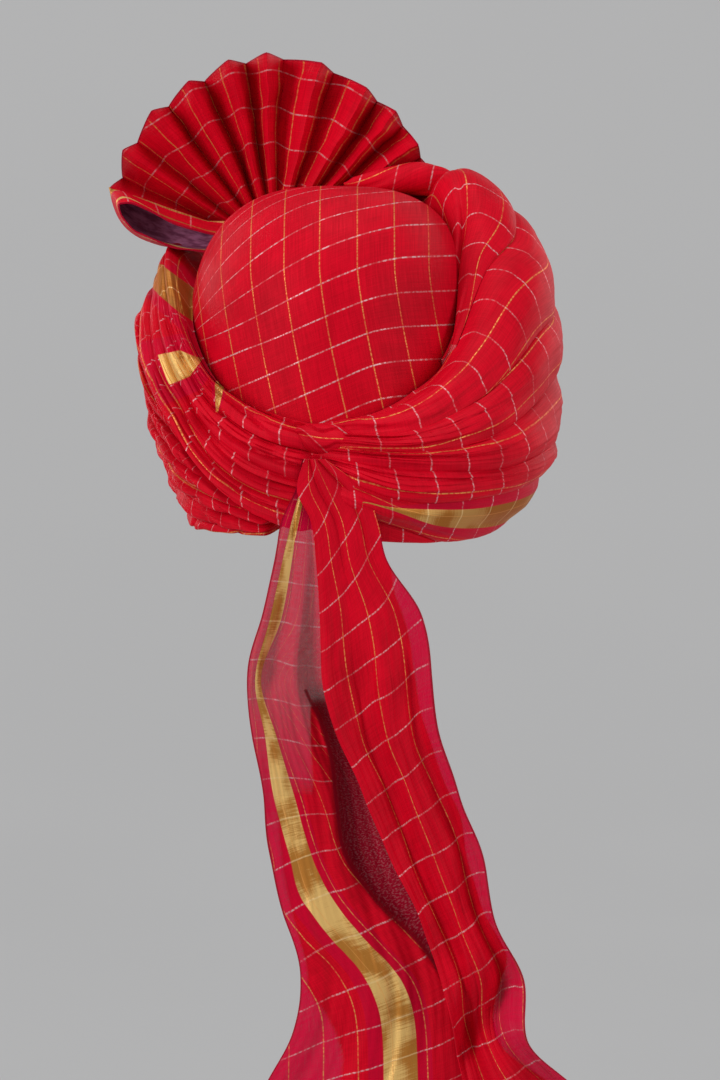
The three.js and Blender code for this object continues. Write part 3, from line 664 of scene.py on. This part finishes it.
def turn_of_cloth(name, turn, low, high, rows=150, columns=34, lift=1.0, crease=None, width=None,
                  border=None, fold=flat_fold, tuck=None, bed=None, seed=1, along_start=0.0, puff=0.0,
                  swell=1.2, gather=1.0, lean=0.0):
    """One wound turn. turn(s, t) is its direction, low(s) and high(s) its edges, crease(s, w, points)
    the relief in millimetres of its tucks, gather how many times its length of cloth lies in it and
    lean how far its check slants."""
    s, k = unit_grid(rows, columns)
    knots = [row[0] for row in fold]
    w = smooth_curve(knots, [row[1] for row in fold], k)
    past = smooth_curve(knots, [row[2] for row in fold], k)
    rise = smooth_curve(knots, [row[3] for row in fold], k)
    lows, highs = low(s), high(s)
    closed_low, closed_high = lows <= 0, highs >= 1
    span = section_length(turn(s[:, :1], 0.5 + 0 * s[:, :1]))
    past = np.where(closed_low & (k < 0.5), np.maximum(0, past), past)
    past = np.where(closed_high & (k > 0.5), np.minimum(0, past), past)
    t = np.clip(mix(lows, highs, w) + past / span, 0, 1)
    rise = np.where(closed_high & (k > 0.5), np.maximum(rise, -1.5), rise)
    rise = np.where(closed_low & (k < 0.5), np.maximum(rise, -1.0), rise)
    degrees = turn(s, t)
    base = skin_point(degrees, t)
    body = ease((k - 0.12) / 0.12) * ease((0.97 - k) / 0.08)
    relief = lift * rise + puff * np.sin(np.pi * w) * body
    relief += swell * dents(base, (38, 38, 30), seed) * body
    if crease is not None:
        relief += crease(s, w, base) * body
    if bed is not None:
        depth = np.interp(base[..., 2], bed["height"], bed["depth"])
        hem = ease((hem_height - base[..., 2]) / 30) * ease((degrees - bed.get("hem_from", 360)) / 25)
        relief -= depth * (1 - 0.85 * hem)
    thick = np.linalg.norm(base - inner_point(degrees, t), axis=-1)
    if tuck is not None:
        relief = mix(relief, np.minimum(relief, -0.35 * thick), tuck(degrees, t))
    relief = np.maximum(relief, -0.7 * thick)
    points = lifted_point(degrees, t, relief)
    middle = points[:, columns // 2]
    run = distances(middle[:, None], 0)[:, 0]
    reach = distances(points, 1)
    share = reach / reach[:, -1:]
    width = width or float(reach[:, -1].mean())
    along = run[:, None] + along_start
    cloth = pair(along * gather + lean * share * width, share * width + 7.3 * seed)
    edges = np.full_like(cloth, no_border)
    if border is not None:
        edges[..., 0] = border(degrees, points)
    piece = grid_piece(name, points, cloth, edges)
    give_back(piece, inner_point(degrees, t))
    dress(piece, silk_check, [name])


nape_meeting = -14
seam_at_rim, seam_at_crest = 206, 168
seam_gap = 0.3


def seam_at(t):
    return mix(seam_at_rim, seam_at_crest, t)


def right_turn(s, t):
    return mix(nape_meeting, seam_at(t) - seam_gap, s)


# Upper edge of each right-hand turn, by direction, as a share of the ring's section
right_at = [-14, 0, 20, 45, 70, 90, 135, 190]
right_edges = {
    "under_band": [0.45, 0.4, 0.22, 0.03, 0, 0, 0, 0],
    "hem_band": [0.62, 0.58, 0.4, 0.34, 0.28, 0.24, 0.22, 0.22],
    "right_wrap_1": [0.7, 0.66, 0.57, 0.45, 0.36, 0.3, 0.32, 0.34],
    "right_wrap_2": [0.77, 0.73, 0.64, 0.57, 0.5, 0.46, 0.46, 0.48],
    "right_wrap_3": [0.86, 0.82, 0.75, 0.72, 0.62, 0.55, 0.58, 0.6],
    "right_sweep": [1, 1, 1, 0.96, 0.86, 0.73, 0.76, 0.8],
}


def right_edge(name, s):
    return np.clip(smooth_curve(right_at, right_edges[name], mix(right_at[0], right_at[-1], s)), 0, 1)


def gathered(count, depth, seed, far=0.25):
    """Tucks that are deep where the turn is gathered at the nape and shallow far from it."""
    def crease(s, w, points):
        strength = mix(1.0, far, ease(s / 0.45))
        broad = tucks(w, s * 1.3, count, seed, 0.1) - 0.4
        fine = tucks(w, s * 2.0 + 0.3, count * 2.6, seed + 7, 0.16) - 0.4
        return depth * strength * broad + 0.45 * depth * strength * fine
    return crease


# Where the gold border lies along the hem: millimetres above the rim, and half its seen width
hem_border_at = [10, 16, 29, 43, 63, 85, 120, 200]
hem_border_rise = [20, 17.5, 13.5, 11.5, 9, 5, 8, 12]
hem_border_half = [0.3, 0.8, 4.5, 6.2, 8.2, 8.8, 9.5, 10]


def hem_border(degrees, points):
    rim = -wrap_height * ring_column("rim_drop", degrees)
    centre = rim + smooth_curve(hem_border_at, hem_border_rise, degrees)
    half = np.maximum(0.3, smooth_curve(hem_border_at, hem_border_half, degrees))
    return np.where(degrees > 8, (points[..., 2] - centre) * border_half / half, no_border)


def right_wraps():
    turn_of_cloth("under_band", lambda s, t: right_turn(s * 0.3, t), lambda s: 0 * s,
                  lambda s: right_edge("under_band", s * 0.3), rows=60, seed=2,
                  crease=gathered(2, 1.2, 3), tuck=tuck_right)
    turn_of_cloth("hem_band", right_turn, lambda s: right_edge("under_band", s),
                  lambda s: right_edge("hem_band", s), rows=200, seed=3, border=hem_border,
                  crease=gathered(1.6, 1.5, 11, 0.1), swell=0.8, width=64, columns=44,
                  tuck=tuck_right, bed=bed_right)
    names = list(right_edges)
    for index, (name, count, depth, puff) in enumerate([
            ("right_wrap_1", 2.3, 2.6, 1.5), ("right_wrap_2", 2.6, 2.8, 2.0),
            ("right_wrap_3", 2.2, 2.4, 2.5), ("right_sweep", 1.8, 2.0, 3.5)]):
        below = names[names.index(name) - 1]
        turn_of_cloth(name, right_turn, lambda s, n=below: right_edge(n, s),
                      lambda s, n=name: right_edge(n, s), rows=220, columns=48, seed=4 + index, puff=puff,
                      crease=gathered(count, depth, 21 + index), along_start=7.0 * index,
                      width=34 + 9 * index, lift=0.75, tuck=tuck_right, bed=bed_right)

    def puff_crease(s, w, points):
        """A deep crease runs up the puff beside the crown, and soft folds fan out from it."""
        crease_at = 0.6 - 0.12 * s
        deep = np.exp(-((w - crease_at) / 0.035) ** 2) * ease((0.45 - s) / 0.3)
        return -7.0 * deep + 1.8 * (tucks(w, s, 1.7, 41, 0.2) - 0.4)

    start = 0.35
    turn_of_cloth("top_puff", lambda s, t: right_turn(mix(start, 1, s), t),
                  lambda s: np.minimum(0.995, right_edge("right_sweep", mix(start, 1, s)) + 0.004),
                  lambda s: 1 + 0 * s, columns=48, lift=0.35, puff=2.0, seed=9,
                  crease=puff_crease, swell=2.0, bed=bed_right)


right_wraps()

# Upper edge of each left-hand turn, from the lowest, by direction
left_at = [190, 225, 250, 270, 290, 310, 330, 346]
left_edges = [
    [0.12, 0.12, 0.12, 0.12, 0.13, 0.14, 0.12, 0.1],
    [0.22, 0.22, 0.19, 0.19, 0.2, 0.22, 0.2, 0.16],
    [0.33, 0.31, 0.26, 0.25, 0.26, 0.3, 0.28, 0.22],
    [0.44, 0.4, 0.315, 0.305, 0.32, 0.38, 0.36, 0.28],
    [0.55, 0.49, 0.365, 0.355, 0.375, 0.46, 0.44, 0.34],
    [0.66, 0.58, 0.42, 0.41, 0.43, 0.54, 0.52, 0.4],
    [0.8, 0.74, 0.62, 0.62, 0.64, 0.72, 0.7, 0.6],
]


def left_turn(s, t):
    return mix(seam_at(t) + seam_gap, 360 + nape_meeting - seam_gap, s)


def left_edge(row, s):
    if row < 0:
        return 0 * s
    return smooth_curve(left_at, left_edges[row], mix(left_at[0], left_at[-1], s))


def left_wraps():
    def puckers(seed):
        """Slanting hollows that pinch a narrow stacked turn along its lower edge."""
        def crease(s, w, points):
            place = s * 9 + 1.4 * wander(s, seed, 2) + 1.1 * w
            pinch = ease((0.8 - w) / 0.6)
            hollow = 4.2 * np.abs(np.sin(np.pi * place)) ** 0.5 - 3.2
            return pinch * hollow + 1.2 * (tucks(w, s, 1.3, seed) - 0.4)
        return crease

    for row in range(len(left_edges)):
        turn_of_cloth(f"left_wrap_{row + 1}", left_turn, lambda s, k=row: left_edge(k - 1, s),
                      lambda s, k=row: left_edge(k, s), rows=190, columns=30, seed=12 + row,
                      crease=puckers(60 + row), along_start=9.0 * row, width=40, lift=1.7,
                      gather=1.8, lean=0.9, fold=plump_fold, tuck=tuck_left, bed=bed_left)
    last = 0.125
    turn_of_cloth("left_front_turn", lambda s, t: left_turn(s * last, t),
                  lambda s: left_edge(6, s * last), lambda s: 1 + 0 * s, rows=30, seed=20, tuck=tuck_left)


left_wraps()

bundle_pleats = [("left_outer_roll", 0, 0.24), ("left_pleat_1", 0.24, 0.46),
                 ("left_pleat_2", 0.46, 0.68), ("left_inner_roll", 0.68, 1)]


def bundle_turn(s, t=0):
    return mix(bundle_at[0], bundle_at[-1], s) + 0 * t


def bundle_low(s):
    return smooth_curve(bundle_at, bundle_edge, bundle_turn(s))


def pleated(seed):
    """Lengthwise pleats that tighten towards the nape."""
    def crease(s, w, points):
        strength = mix(0.15, 1, ease((s - 0.4) / 0.3))
        broad = tucks(w, s, 1.8, seed, 0.12) - 0.4
        fine = tucks(w, s + 0.4, 4.6, seed + 5) - 0.4
        return strength * (4.2 * broad + 1.6 * fine)
    return crease


# Folds round the lower patch of the border: the way out across each, and a point on it in millimetres
patch_folds = [(-0.22, 0.97, -93, -95.4), (0.35, 0.94, -85, -95.6), (0.395, -0.918, -94.5, -114.4),
               (-0.915, -0.407, -101.7, -98.2), (0.815, -0.58, -81.9, -109)]


def bundle_border(degrees, points):
    """Distance from the gold border, which shows on the bundle in two patches and a sliver in a pleat."""
    x, y, z = points[..., 0], points[..., 1], points[..., 2]
    upper = (z + 57.5 + 0.75 * (x + 97)) * border_half / 9.5  # a slanting band
    past_fold = [out_x * (x - at_x) + out_z * (z - at_z) for out_x, out_z, at_x, at_z in patch_folds]
    lower = border_half + np.max(past_fold, axis=0)
    nearest = np.where(np.abs(upper) < np.abs(lower), upper, lower)
    nearest = np.where((y > 60) | (x > -69) | (z > -44), no_border, nearest)
    half = smooth_curve([-130, -128, -108, -100], [0.3, 0.8, 3.3, 3.6], z)
    sliver = (z < -103) & (z > -129) & (y < 0) & (x > -70) & (x < -57)
    return np.abs(np.where(sliver, (x + 63.4 - 0.08 * (z + 108)) * border_half / half, nearest))


def left_bundle():
    for index, (name, start, end) in enumerate(bundle_pleats):
        turn_of_cloth(name, bundle_turn, lambda s, a=start: mix(bundle_low(s), 1, a),
                      lambda s, a=end: mix(bundle_low(s), 1, a), rows=200, columns=40,
                      seed=30 + index, lift=1.0 if index == 0 else 0.8, border=bundle_border,
                      fold=plump_fold if index == 0 else flat_fold, swell=1.6,
                      crease=pleated(80 + index), width=30, along_start=5.0 * index, tuck=tuck_bundle,
                      bed=bed_bundle)


left_bundle()


# Knot at the nape
def nape_knot():
    s, w = unit_grid(70, 60)
    degrees = mix(-13, 10, s)
    t = 0.8 - 0.05 * s + 0.26 * (w - 0.5) * (0.15 + 0.85 * np.sin(np.pi * s) ** 0.7)
    arch = (np.maximum(0, np.sin(np.pi * s)) * np.maximum(0, np.sin(np.pi * w))) ** 0.4
    sweep = w + 0.5 * (s - 0.2)
    lift = 13 * arch - 6 + 2.4 * (tucks(sweep, s, 2.6, 91, 0.15) - 0.4) * arch
    points = lifted_point(degrees, t, lift)
    cloth = pair(s * 40 + 30 * w, w * 36 + 30)
    piece = grid_piece("nape_knot", points, cloth, np.full_like(cloth, no_border))
    give_back(piece, lifted_point(degrees, t, -4 + 0 * s))
    dress(piece, silk_check, ["nape_knot"])


nape_knot()


# Pleated fan
fan_ridges = [
    # degrees above the wearer's right, reach and root as shares of fan_radius
    (27, 0.86, 0.5), (37, 0.87, 0.44), (49, 0.9, 0.38), (60, 0.91, 0.34), (76, 0.94, 0.3),
    (92, 0.96, 0.27), (103, 0.95, 0.25), (117, 0.92, 0.23), (131, 0.9, 0.21), (146, 0.88, 0.2),
    (159, 0.85, 0.2),
]
fan_centre = np.array([-35.0, 50.0, -37.0])
fan_underfold = 4.5
fan_depth = 0.12 * fan_radius


def turra_fan():
    """Knife pleats: from each valley a broad face comes forward to the next ridge."""
    stops = []
    for number, (angle, reach, root) in enumerate(fan_ridges):
        stops.append((angle - fan_underfold, 0.975 * reach, root, 1.0, number * 26.0 - 7))
        stops.append((angle, reach, root, -1.0, number * 26.0))
    fine = 9
    table = []
    for a, b in zip(stops, stops[1:]):
        for k in range(fine):
            share = k / fine
            row = [mix(x, y, share) for x, y in zip(a, b)]
            row[3] = mix(a[3], b[3], float(ease(share)) * 0.4 + share * 0.6)
            table.append(row)
    table.append(list(stops[-1]))
    table = np.array(table)
    columns = 60
    out = np.linspace(0, 1, columns)[None, :]
    angle, reach, root = (table[:, k][:, None] for k in range(3))
    radius = fan_radius * mix(root, reach, out)
    bow = 2.4 * np.sin(np.pi * out) * wander(angle / 60, 15)
    angle_here = np.radians(angle + bow * (1 - out) + 0.6 * wander(out * 1.3 + angle / 40, 16))
    depth = fan_depth * mix(0.35, 1, out) * table[:, 3][:, None]
    depth = depth + 0.7 * wander(out * 2 + angle / 15, 17)
    x, z = radius * np.cos(angle_here), radius * np.sin(angle_here)
    points = np.stack([x, depth, z], -1) + fan_centre
    cloth = pair(radius + 4 * wander(angle / 50, 18), table[:, 4][:, None])
    border = pair(no_border, fan_radius * reach - radius)
    piece = grid_piece("turra_fan", points[::-1], cloth[::-1], border[::-1])
    give_wall(piece, fold_thick, 0.0)
    dress(piece, silk_fan, ["turra_fan"])


turra_fan()


# Open loop at the fan's end
loop_reach = 66
loop_depth = 34
loop_root = np.array([-76.0, 39.2, -26.6])
# How far out and up the loop runs, as shares of loop_reach
loop_path = [(-0.2, 0.06), (0.3, 0.17), (0.6, 0.29), (0.84, 0.39), (0.94, 0.36), (0.9, 0.2),
             (0.79, 0.05), (0.62, -0.05), (0.42, -0.11), (0.15, -0.13), (-0.2, -0.13)]
loop_mouth = {"width": 0.84, "height": 0.7, "drop": 7}  # the loop narrows towards its open mouth


def fan_curl():
    rows, columns = 110, 40
    s = np.linspace(0, 1, rows)
    knots = np.linspace(0, 1, len(loop_path))
    out = loop_reach * smooth_curve(knots, [p[0] for p in loop_path], s)
    up = loop_reach * smooth_curve(knots, [p[1] for p in loop_path], s)
    back = np.linspace(0, loop_depth, columns)[None, :]
    ripple = 1.3 * wander(s[:, None] * 2 + back / 60, 51) * np.minimum(1, back / 12 + 0.3)
    share = back / loop_depth
    wide = mix(0.97, loop_mouth["width"], share)
    high = mix(1.12, loop_mouth["height"], share) * ease(share / 0.3 + 0.02)
    top = loop_reach * (0.1 + 0.345 * np.maximum(0, out[:, None] / loop_reach) * wide)
    x = loop_root[0] - out[:, None] * wide
    z = loop_root[2] + 1.5 + top + (up[:, None] - top) * high + ripple * share
    z = z - loop_mouth["drop"] * share ** 1.5
    points = np.stack([x, loop_root[1] - back + 0 * x, z], -1)
    run = distances(points, 0)[:, columns // 2][:, None]
    cloth = pair(run, back + 3)
    # The border is folded here: a thin line of it shows along the mouth and along the back edge,
    # and more of it at the far corner
    corner = 1.5 + 4.5 * ease((out[:, None] / loop_reach - 0.78) / 0.14)
    nearest = np.minimum(np.abs(back - 3) / corner, np.abs(loop_depth - 6.5 - back) / 1.2)
    border = pair(nearest * border_half, loop_depth - back)
    piece = grid_piece("fan_curl", points, cloth, border)
    give_wall(piece, fold_thick, 0.0)
    dress(piece, silk_loop, ["fan_curl"])
    show_wrong_side(piece, (rows - 1) * (columns - 1))


def show_wrong_side(piece, count):
    """Gives the faces that line the loop the wrong side of the cloth."""
    faces = piece.data.polygons
    middle = sum((face.center for face in faces), Vector()) / len(faces)
    outward = sum((face.center - middle).dot(face.normal) * face.area for face in faces[:count])
    lining = faces[count:2 * count] if outward > 0 else faces[:count]
    piece.data.materials.append(silk_wrong_side)
    for face in lining:
        face.material_index = 1


fan_curl()


# Twisted roll beside the fan
def fan_wrap():
    """Twisted roll that runs from the fan's right end into the puff."""
    # Each ring's centre and half width
    rings = [(8, 28, 4.5, 3), (24, 28, 5.5, 6), (38, 29, 6.5, 8.5), (54, 29, 8, 10), (70, 31, 5, 9),
             (84, 32, -4, 7)]
    s = np.linspace(0, 1, 60)[:, None]
    a = np.linspace(0, 2 * np.pi, 49)[None, :]
    knots = np.linspace(0, 1, len(rings))
    centre = [smooth_curve(knots, [r[k] for r in rings], s) for k in range(4)]
    twisted = (a / (2 * np.pi) + 0.55 * s) % 1
    half = centre[3] + 1.5 * (tucks(twisted, s * 0, 3, 95, 0.25, 0) - 0.4)
    half = half * (0.25 + 0.75 * ease(s / 0.08))
    points = np.stack([centre[0] + 0 * a, centre[1] + half * np.cos(a), centre[2] + half * np.sin(a)], -1)
    cloth = pair(centre[0] + 12 * twisted, 40 * twisted)
    piece = grid_piece("fan_wrap", points, cloth, np.full_like(cloth, no_border))
    join_ends(piece, close=True)
    dress(piece, silk_check, ["fan_wrap"])


fan_wrap()


# Loose tail
# Edges of the two panels and how far they stand off, by drop: shares of tail_width from the root
tail_rows = {
    "drop": [0, 0.048, 0.096, 0.16, 0.24, 0.336, 0.432, 0.528, 0.624, 0.72, 0.816, 0.912, 1],
    "sheer_from": [-0.05, -0.09, -0.17, -0.21, -0.28, -0.38, -0.34, -0.28, -0.25, -0.18, -0.06, -0.11,
                   -0.28],
    "sheer_to": [0.02, 0.05, 0.11, 0.14, 0.17, 0.23, 0.31, 0.51, 0.65, 0.83, 0.97, 1.08, 1.2],
    "silk_from": [-0.04, -0.08, 0, 0.03, 0.05, 0.07, 0.15, 0.3, 0.45, 0.63, 0.75, 0.82, 0.89],
    "silk_to": [0.08, 0.31, 0.38, 0.44, 0.63, 0.7, 0.74, 0.85, 0.99, 1.06, 1.23, 1.24, 1.55],
    "stand": [0, 0.005, 0.01, 0.01, 0.005, 0, -0.01, -0.01, 0, 0, 0.01, 0.02, 0.03],
}
tail_root = np.array([-10.0, -133.4, -154.0])
tail_hem = 6  # the loose ends hang this much past the solids


def tail_grid(start, end):
    """Drop, width share, left and right edge, stand-off and looseness over a tail panel's grid."""
    drop, w = unit_grid(240, 100)
    names = (start, end, "stand")
    left, right, stand = (smooth_curve(tail_rows["drop"], tail_rows[n], drop) for n in names)
    freed = np.clip(4 * (drop - 0.09), 0, 1) ** 2
    return drop, w, left, right, stand, freed


def tail_points(drop, w, left, right, freed, depth, seed):
    """Points of a tail panel; depth is how far it stands off behind the root, a share of tail_width."""
    x = tail_root[0] + tail_width * (mix(left, right, w) + 0.014 * wander(drop * 2.5 + w, seed) * freed)
    y = tail_root[1] - tail_width * depth
    z = tail_root[2] - (tail_drop + tail_hem) * drop + 2 * wander(w, seed + 1) * freed
    return np.stack([x, y, z], -1)


def tail_sheet(name, points, cloth, border, layers, node):
    piece = grid_piece(name, points[::-1], cloth[::-1], border[::-1], layers[::-1])
    give_wall(piece, tail_thick, 0.0)
    dress(piece, silk_sheer, [node])


# Where the gold border runs down the sheer panel: millimetres right of the middle, half its seen width
tail_border = {
    "drop": [0.05, 0.12, 0.25, 0.35, 0.44, 0.539, 0.633, 0.697, 0.76, 0.824, 0.887, 1],
    "middle": [-15, -21, -30.5, -41, -34, -26, -16.5, -7.7, 10, 31, 39.6, 42],
    "half": [1.5, 2.3, 3.3, 1.6, 3.2, 5.9, 6.5, 9, 10.3, 10.3, 9.8, 10],
}
# Right-hand edge of the lit face of the sheer panel, past which its inside shows, painted in shade: share
# of its width.
# The cloth is doubled from `doubled` millimetres right of the middle up to that edge.
tail_fold = {
    "drop": [0.34, 0.37, 0.44, 0.539, 0.633, 0.697, 0.76, 0.824, 1],
    "turned": [0.52, 0.56, 0.62, 0.5, 0.5, 0.565, 0.7, 0.775, 0.9],
    "doubled": [-11, -12, -12, -12, -30, -40, -50, -50, -50],
}
# Width in millimetres of the single layer along the left-hand edge of the sheer panel
tail_flare = {
    "drop": [0.5, 0.84, 0.862, 0.887, 0.91, 0.934, 0.96, 1],
    "width": [7, 3, 8, 16, 23, 29, 36, 43],
}
# Width in millimetres of the single layer along the right-hand edge of the silk panel
tail_margin = {
    "drop": [0, 0.16, 0.22, 0.3, 0.37, 0.44, 0.52, 0.56, 0.63, 0.71, 0.78, 0.84, 0.9, 1],
    "width": [-3, -2, 9, 10, 9, 5, 5.5, 3.5, 9, 5, 3, 14, 15, 12],
}


def sheer_panel():
    drop, w, left, right, stand, freed = tail_grid("sheer_from", "sheer_to")
    below = np.clip(drop, tail_fold["drop"][0], 1)
    turned = smooth_curve(tail_fold["drop"], tail_fold["turned"], below)
    past = (w - turned) * tail_width * (right - left)
    folded = ease((drop - 0.34) / 0.06)
    wave = 0.05 * np.sin(2 * np.pi * 2.5 * w + 2.2 * drop) * (1 - 0.7 * folded)
    fine = 0.016 * wander(w * 2.2 + 0.6 * drop, 71) + 0.01 * wander(w * 6 + drop, 72)
    tight = 0.016 * (tucks(w, drop, 3, 73) - 0.4) * ease((0.55 - drop) / 0.4)
    set_back = 0.12 * ease(past / 6 + 0.3) * folded
    depth = stand + freed * (wave - 0.12 + fine - set_back) + tight - 0.024
    points = tail_points(drop, w, left, right, freed, depth, 74)
    x = points[..., 0]
    run = distances(points, 0)[:, 20:21]
    middle = smooth_curve(tail_border["drop"], tail_border["middle"], drop)
    half = smooth_curve(tail_border["drop"], tail_border["half"], drop)
    from_border = (x - middle) * border_half / half
    slant = mix(-0.12, 0.36, ease((drop - 0.45) / 0.2))
    cloth = pair(run + slant * (x - middle), from_border + 26)
    from_left = w * tail_width * (right - left)
    # distance from the left selvedge and, lower down, from the turned edge of the fold, where the edge
    # line is a painted fold shadow
    from_edge = np.minimum(from_left, np.where(drop > 0.36, np.abs(past), no_border))
    # where the inside of the fold shows; the finish paints it in shade
    inside = ease(past / 1.5) * folded
    start = smooth_curve(tail_fold["drop"], tail_fold["doubled"], below)
    doubled = ease((x - start) / 2) * folded * (from_border > -border_half)
    flare = np.interp(drop, tail_flare["drop"], tail_flare["width"])
    doubled = np.maximum(doubled, ease((from_left - flare) / 1.5) * ease((drop - 0.5) / 0.04))
    tail_sheet("tail_sheer_panel", points, cloth, pair(from_border, from_edge), pair(doubled, inside),
               "tail_left_panel")


def silk_panel():
    drop, w, left, right, stand, freed = tail_grid("silk_from", "silk_to")
    wave = 0.05 * np.sin(2 * np.pi * 2 * w + 2.2 * drop)
    fine = 0.014 * wander(w * 2.2 + 0.6 * drop, 81) + 0.01 * wander(w * 6 + drop * 0.6, 82)
    tight = 0.03 * (tucks(w, drop, 2.6, 83, 0.2) - 0.4) * ease((0.4 - drop) / 0.35)
    hollow = 0.085 * np.sin(2 * np.pi * (drop * 5 + 0.8 * w)) * ease((drop - 0.7) / 0.2)
    points = tail_points(drop, w, left, right, freed, stand + freed * (wave + fine + hollow) + tight, 84)
    run = distances(points, 0)[:, 50:51]
    slant = mix(0.62, 0.3, ease(drop / 0.8))
    seen_width = 82
    across = w * seen_width + 3 * wander(drop * 1.2, 86)
    cloth = pair(run + slant * (w - 0.5) * seen_width, across + 4)
    from_right = (1 - w) * tail_width * (right - left)
    doubled = ease((from_right - smooth_curve(tail_margin["drop"], tail_margin["width"], drop)) / 1.5)
    border = pair(no_border, np.where(drop > 0.12, from_right, no_border))
    tail_sheet("tail_silk_panel", points, cloth, border, pair(doubled, 0.0),
               "tail_right_panel")


sheer_panel()
silk_panel()


# Studio
def studio():
    """Round sweep of pale paper: a level floor that curves up into a wall on all sides."""
    floor_at, floor_reach, bend, wall = -1.55, 6.0, 2.0, 8.0
    sweep = plain_grid("studio_sweep", 96, 60)
    for vertex in sweep.data.vertices:
        turn = math.pi * vertex.co.x
        run = (vertex.co.y + 1) / 2 * (floor_reach + bend * math.pi / 2 + wall)
        arc = min(max(run - floor_reach, 0) / bend, math.pi / 2)
        out = min(run, floor_reach) + bend * math.sin(arc)
        up = bend * (1 - math.cos(arc)) + max(0, run - floor_reach - bend * math.pi / 2)
        vertex.co = (-out * math.sin(turn), out * math.cos(turn), floor_at + up)
    join_ends(sweep)
    bpy.ops.object.shade_smooth()
    f = Finish("paper_sweep")
    position = f.node("ShaderNodeTexCoord")["Object"]
    mottle = f.share("ShaderNodeTexNoise", {}, {"Vector": position, "Scale": 0.8, "Detail": 2.0})
    base = f.colour_mix(mottle.between(0.3, 0.7), paper_dark, paper_pale)
    shader = f.node("ShaderNodeBsdfPrincipled", {}, {
        "Base Color": base, "Roughness": 0.9, "Specular IOR Level": 0.1,
        "Emission Color": (1, 1, 1, 1), "Emission Strength": 0.31})
    sweep.data.materials.append(f.cover_with(shader[0]))


studio()
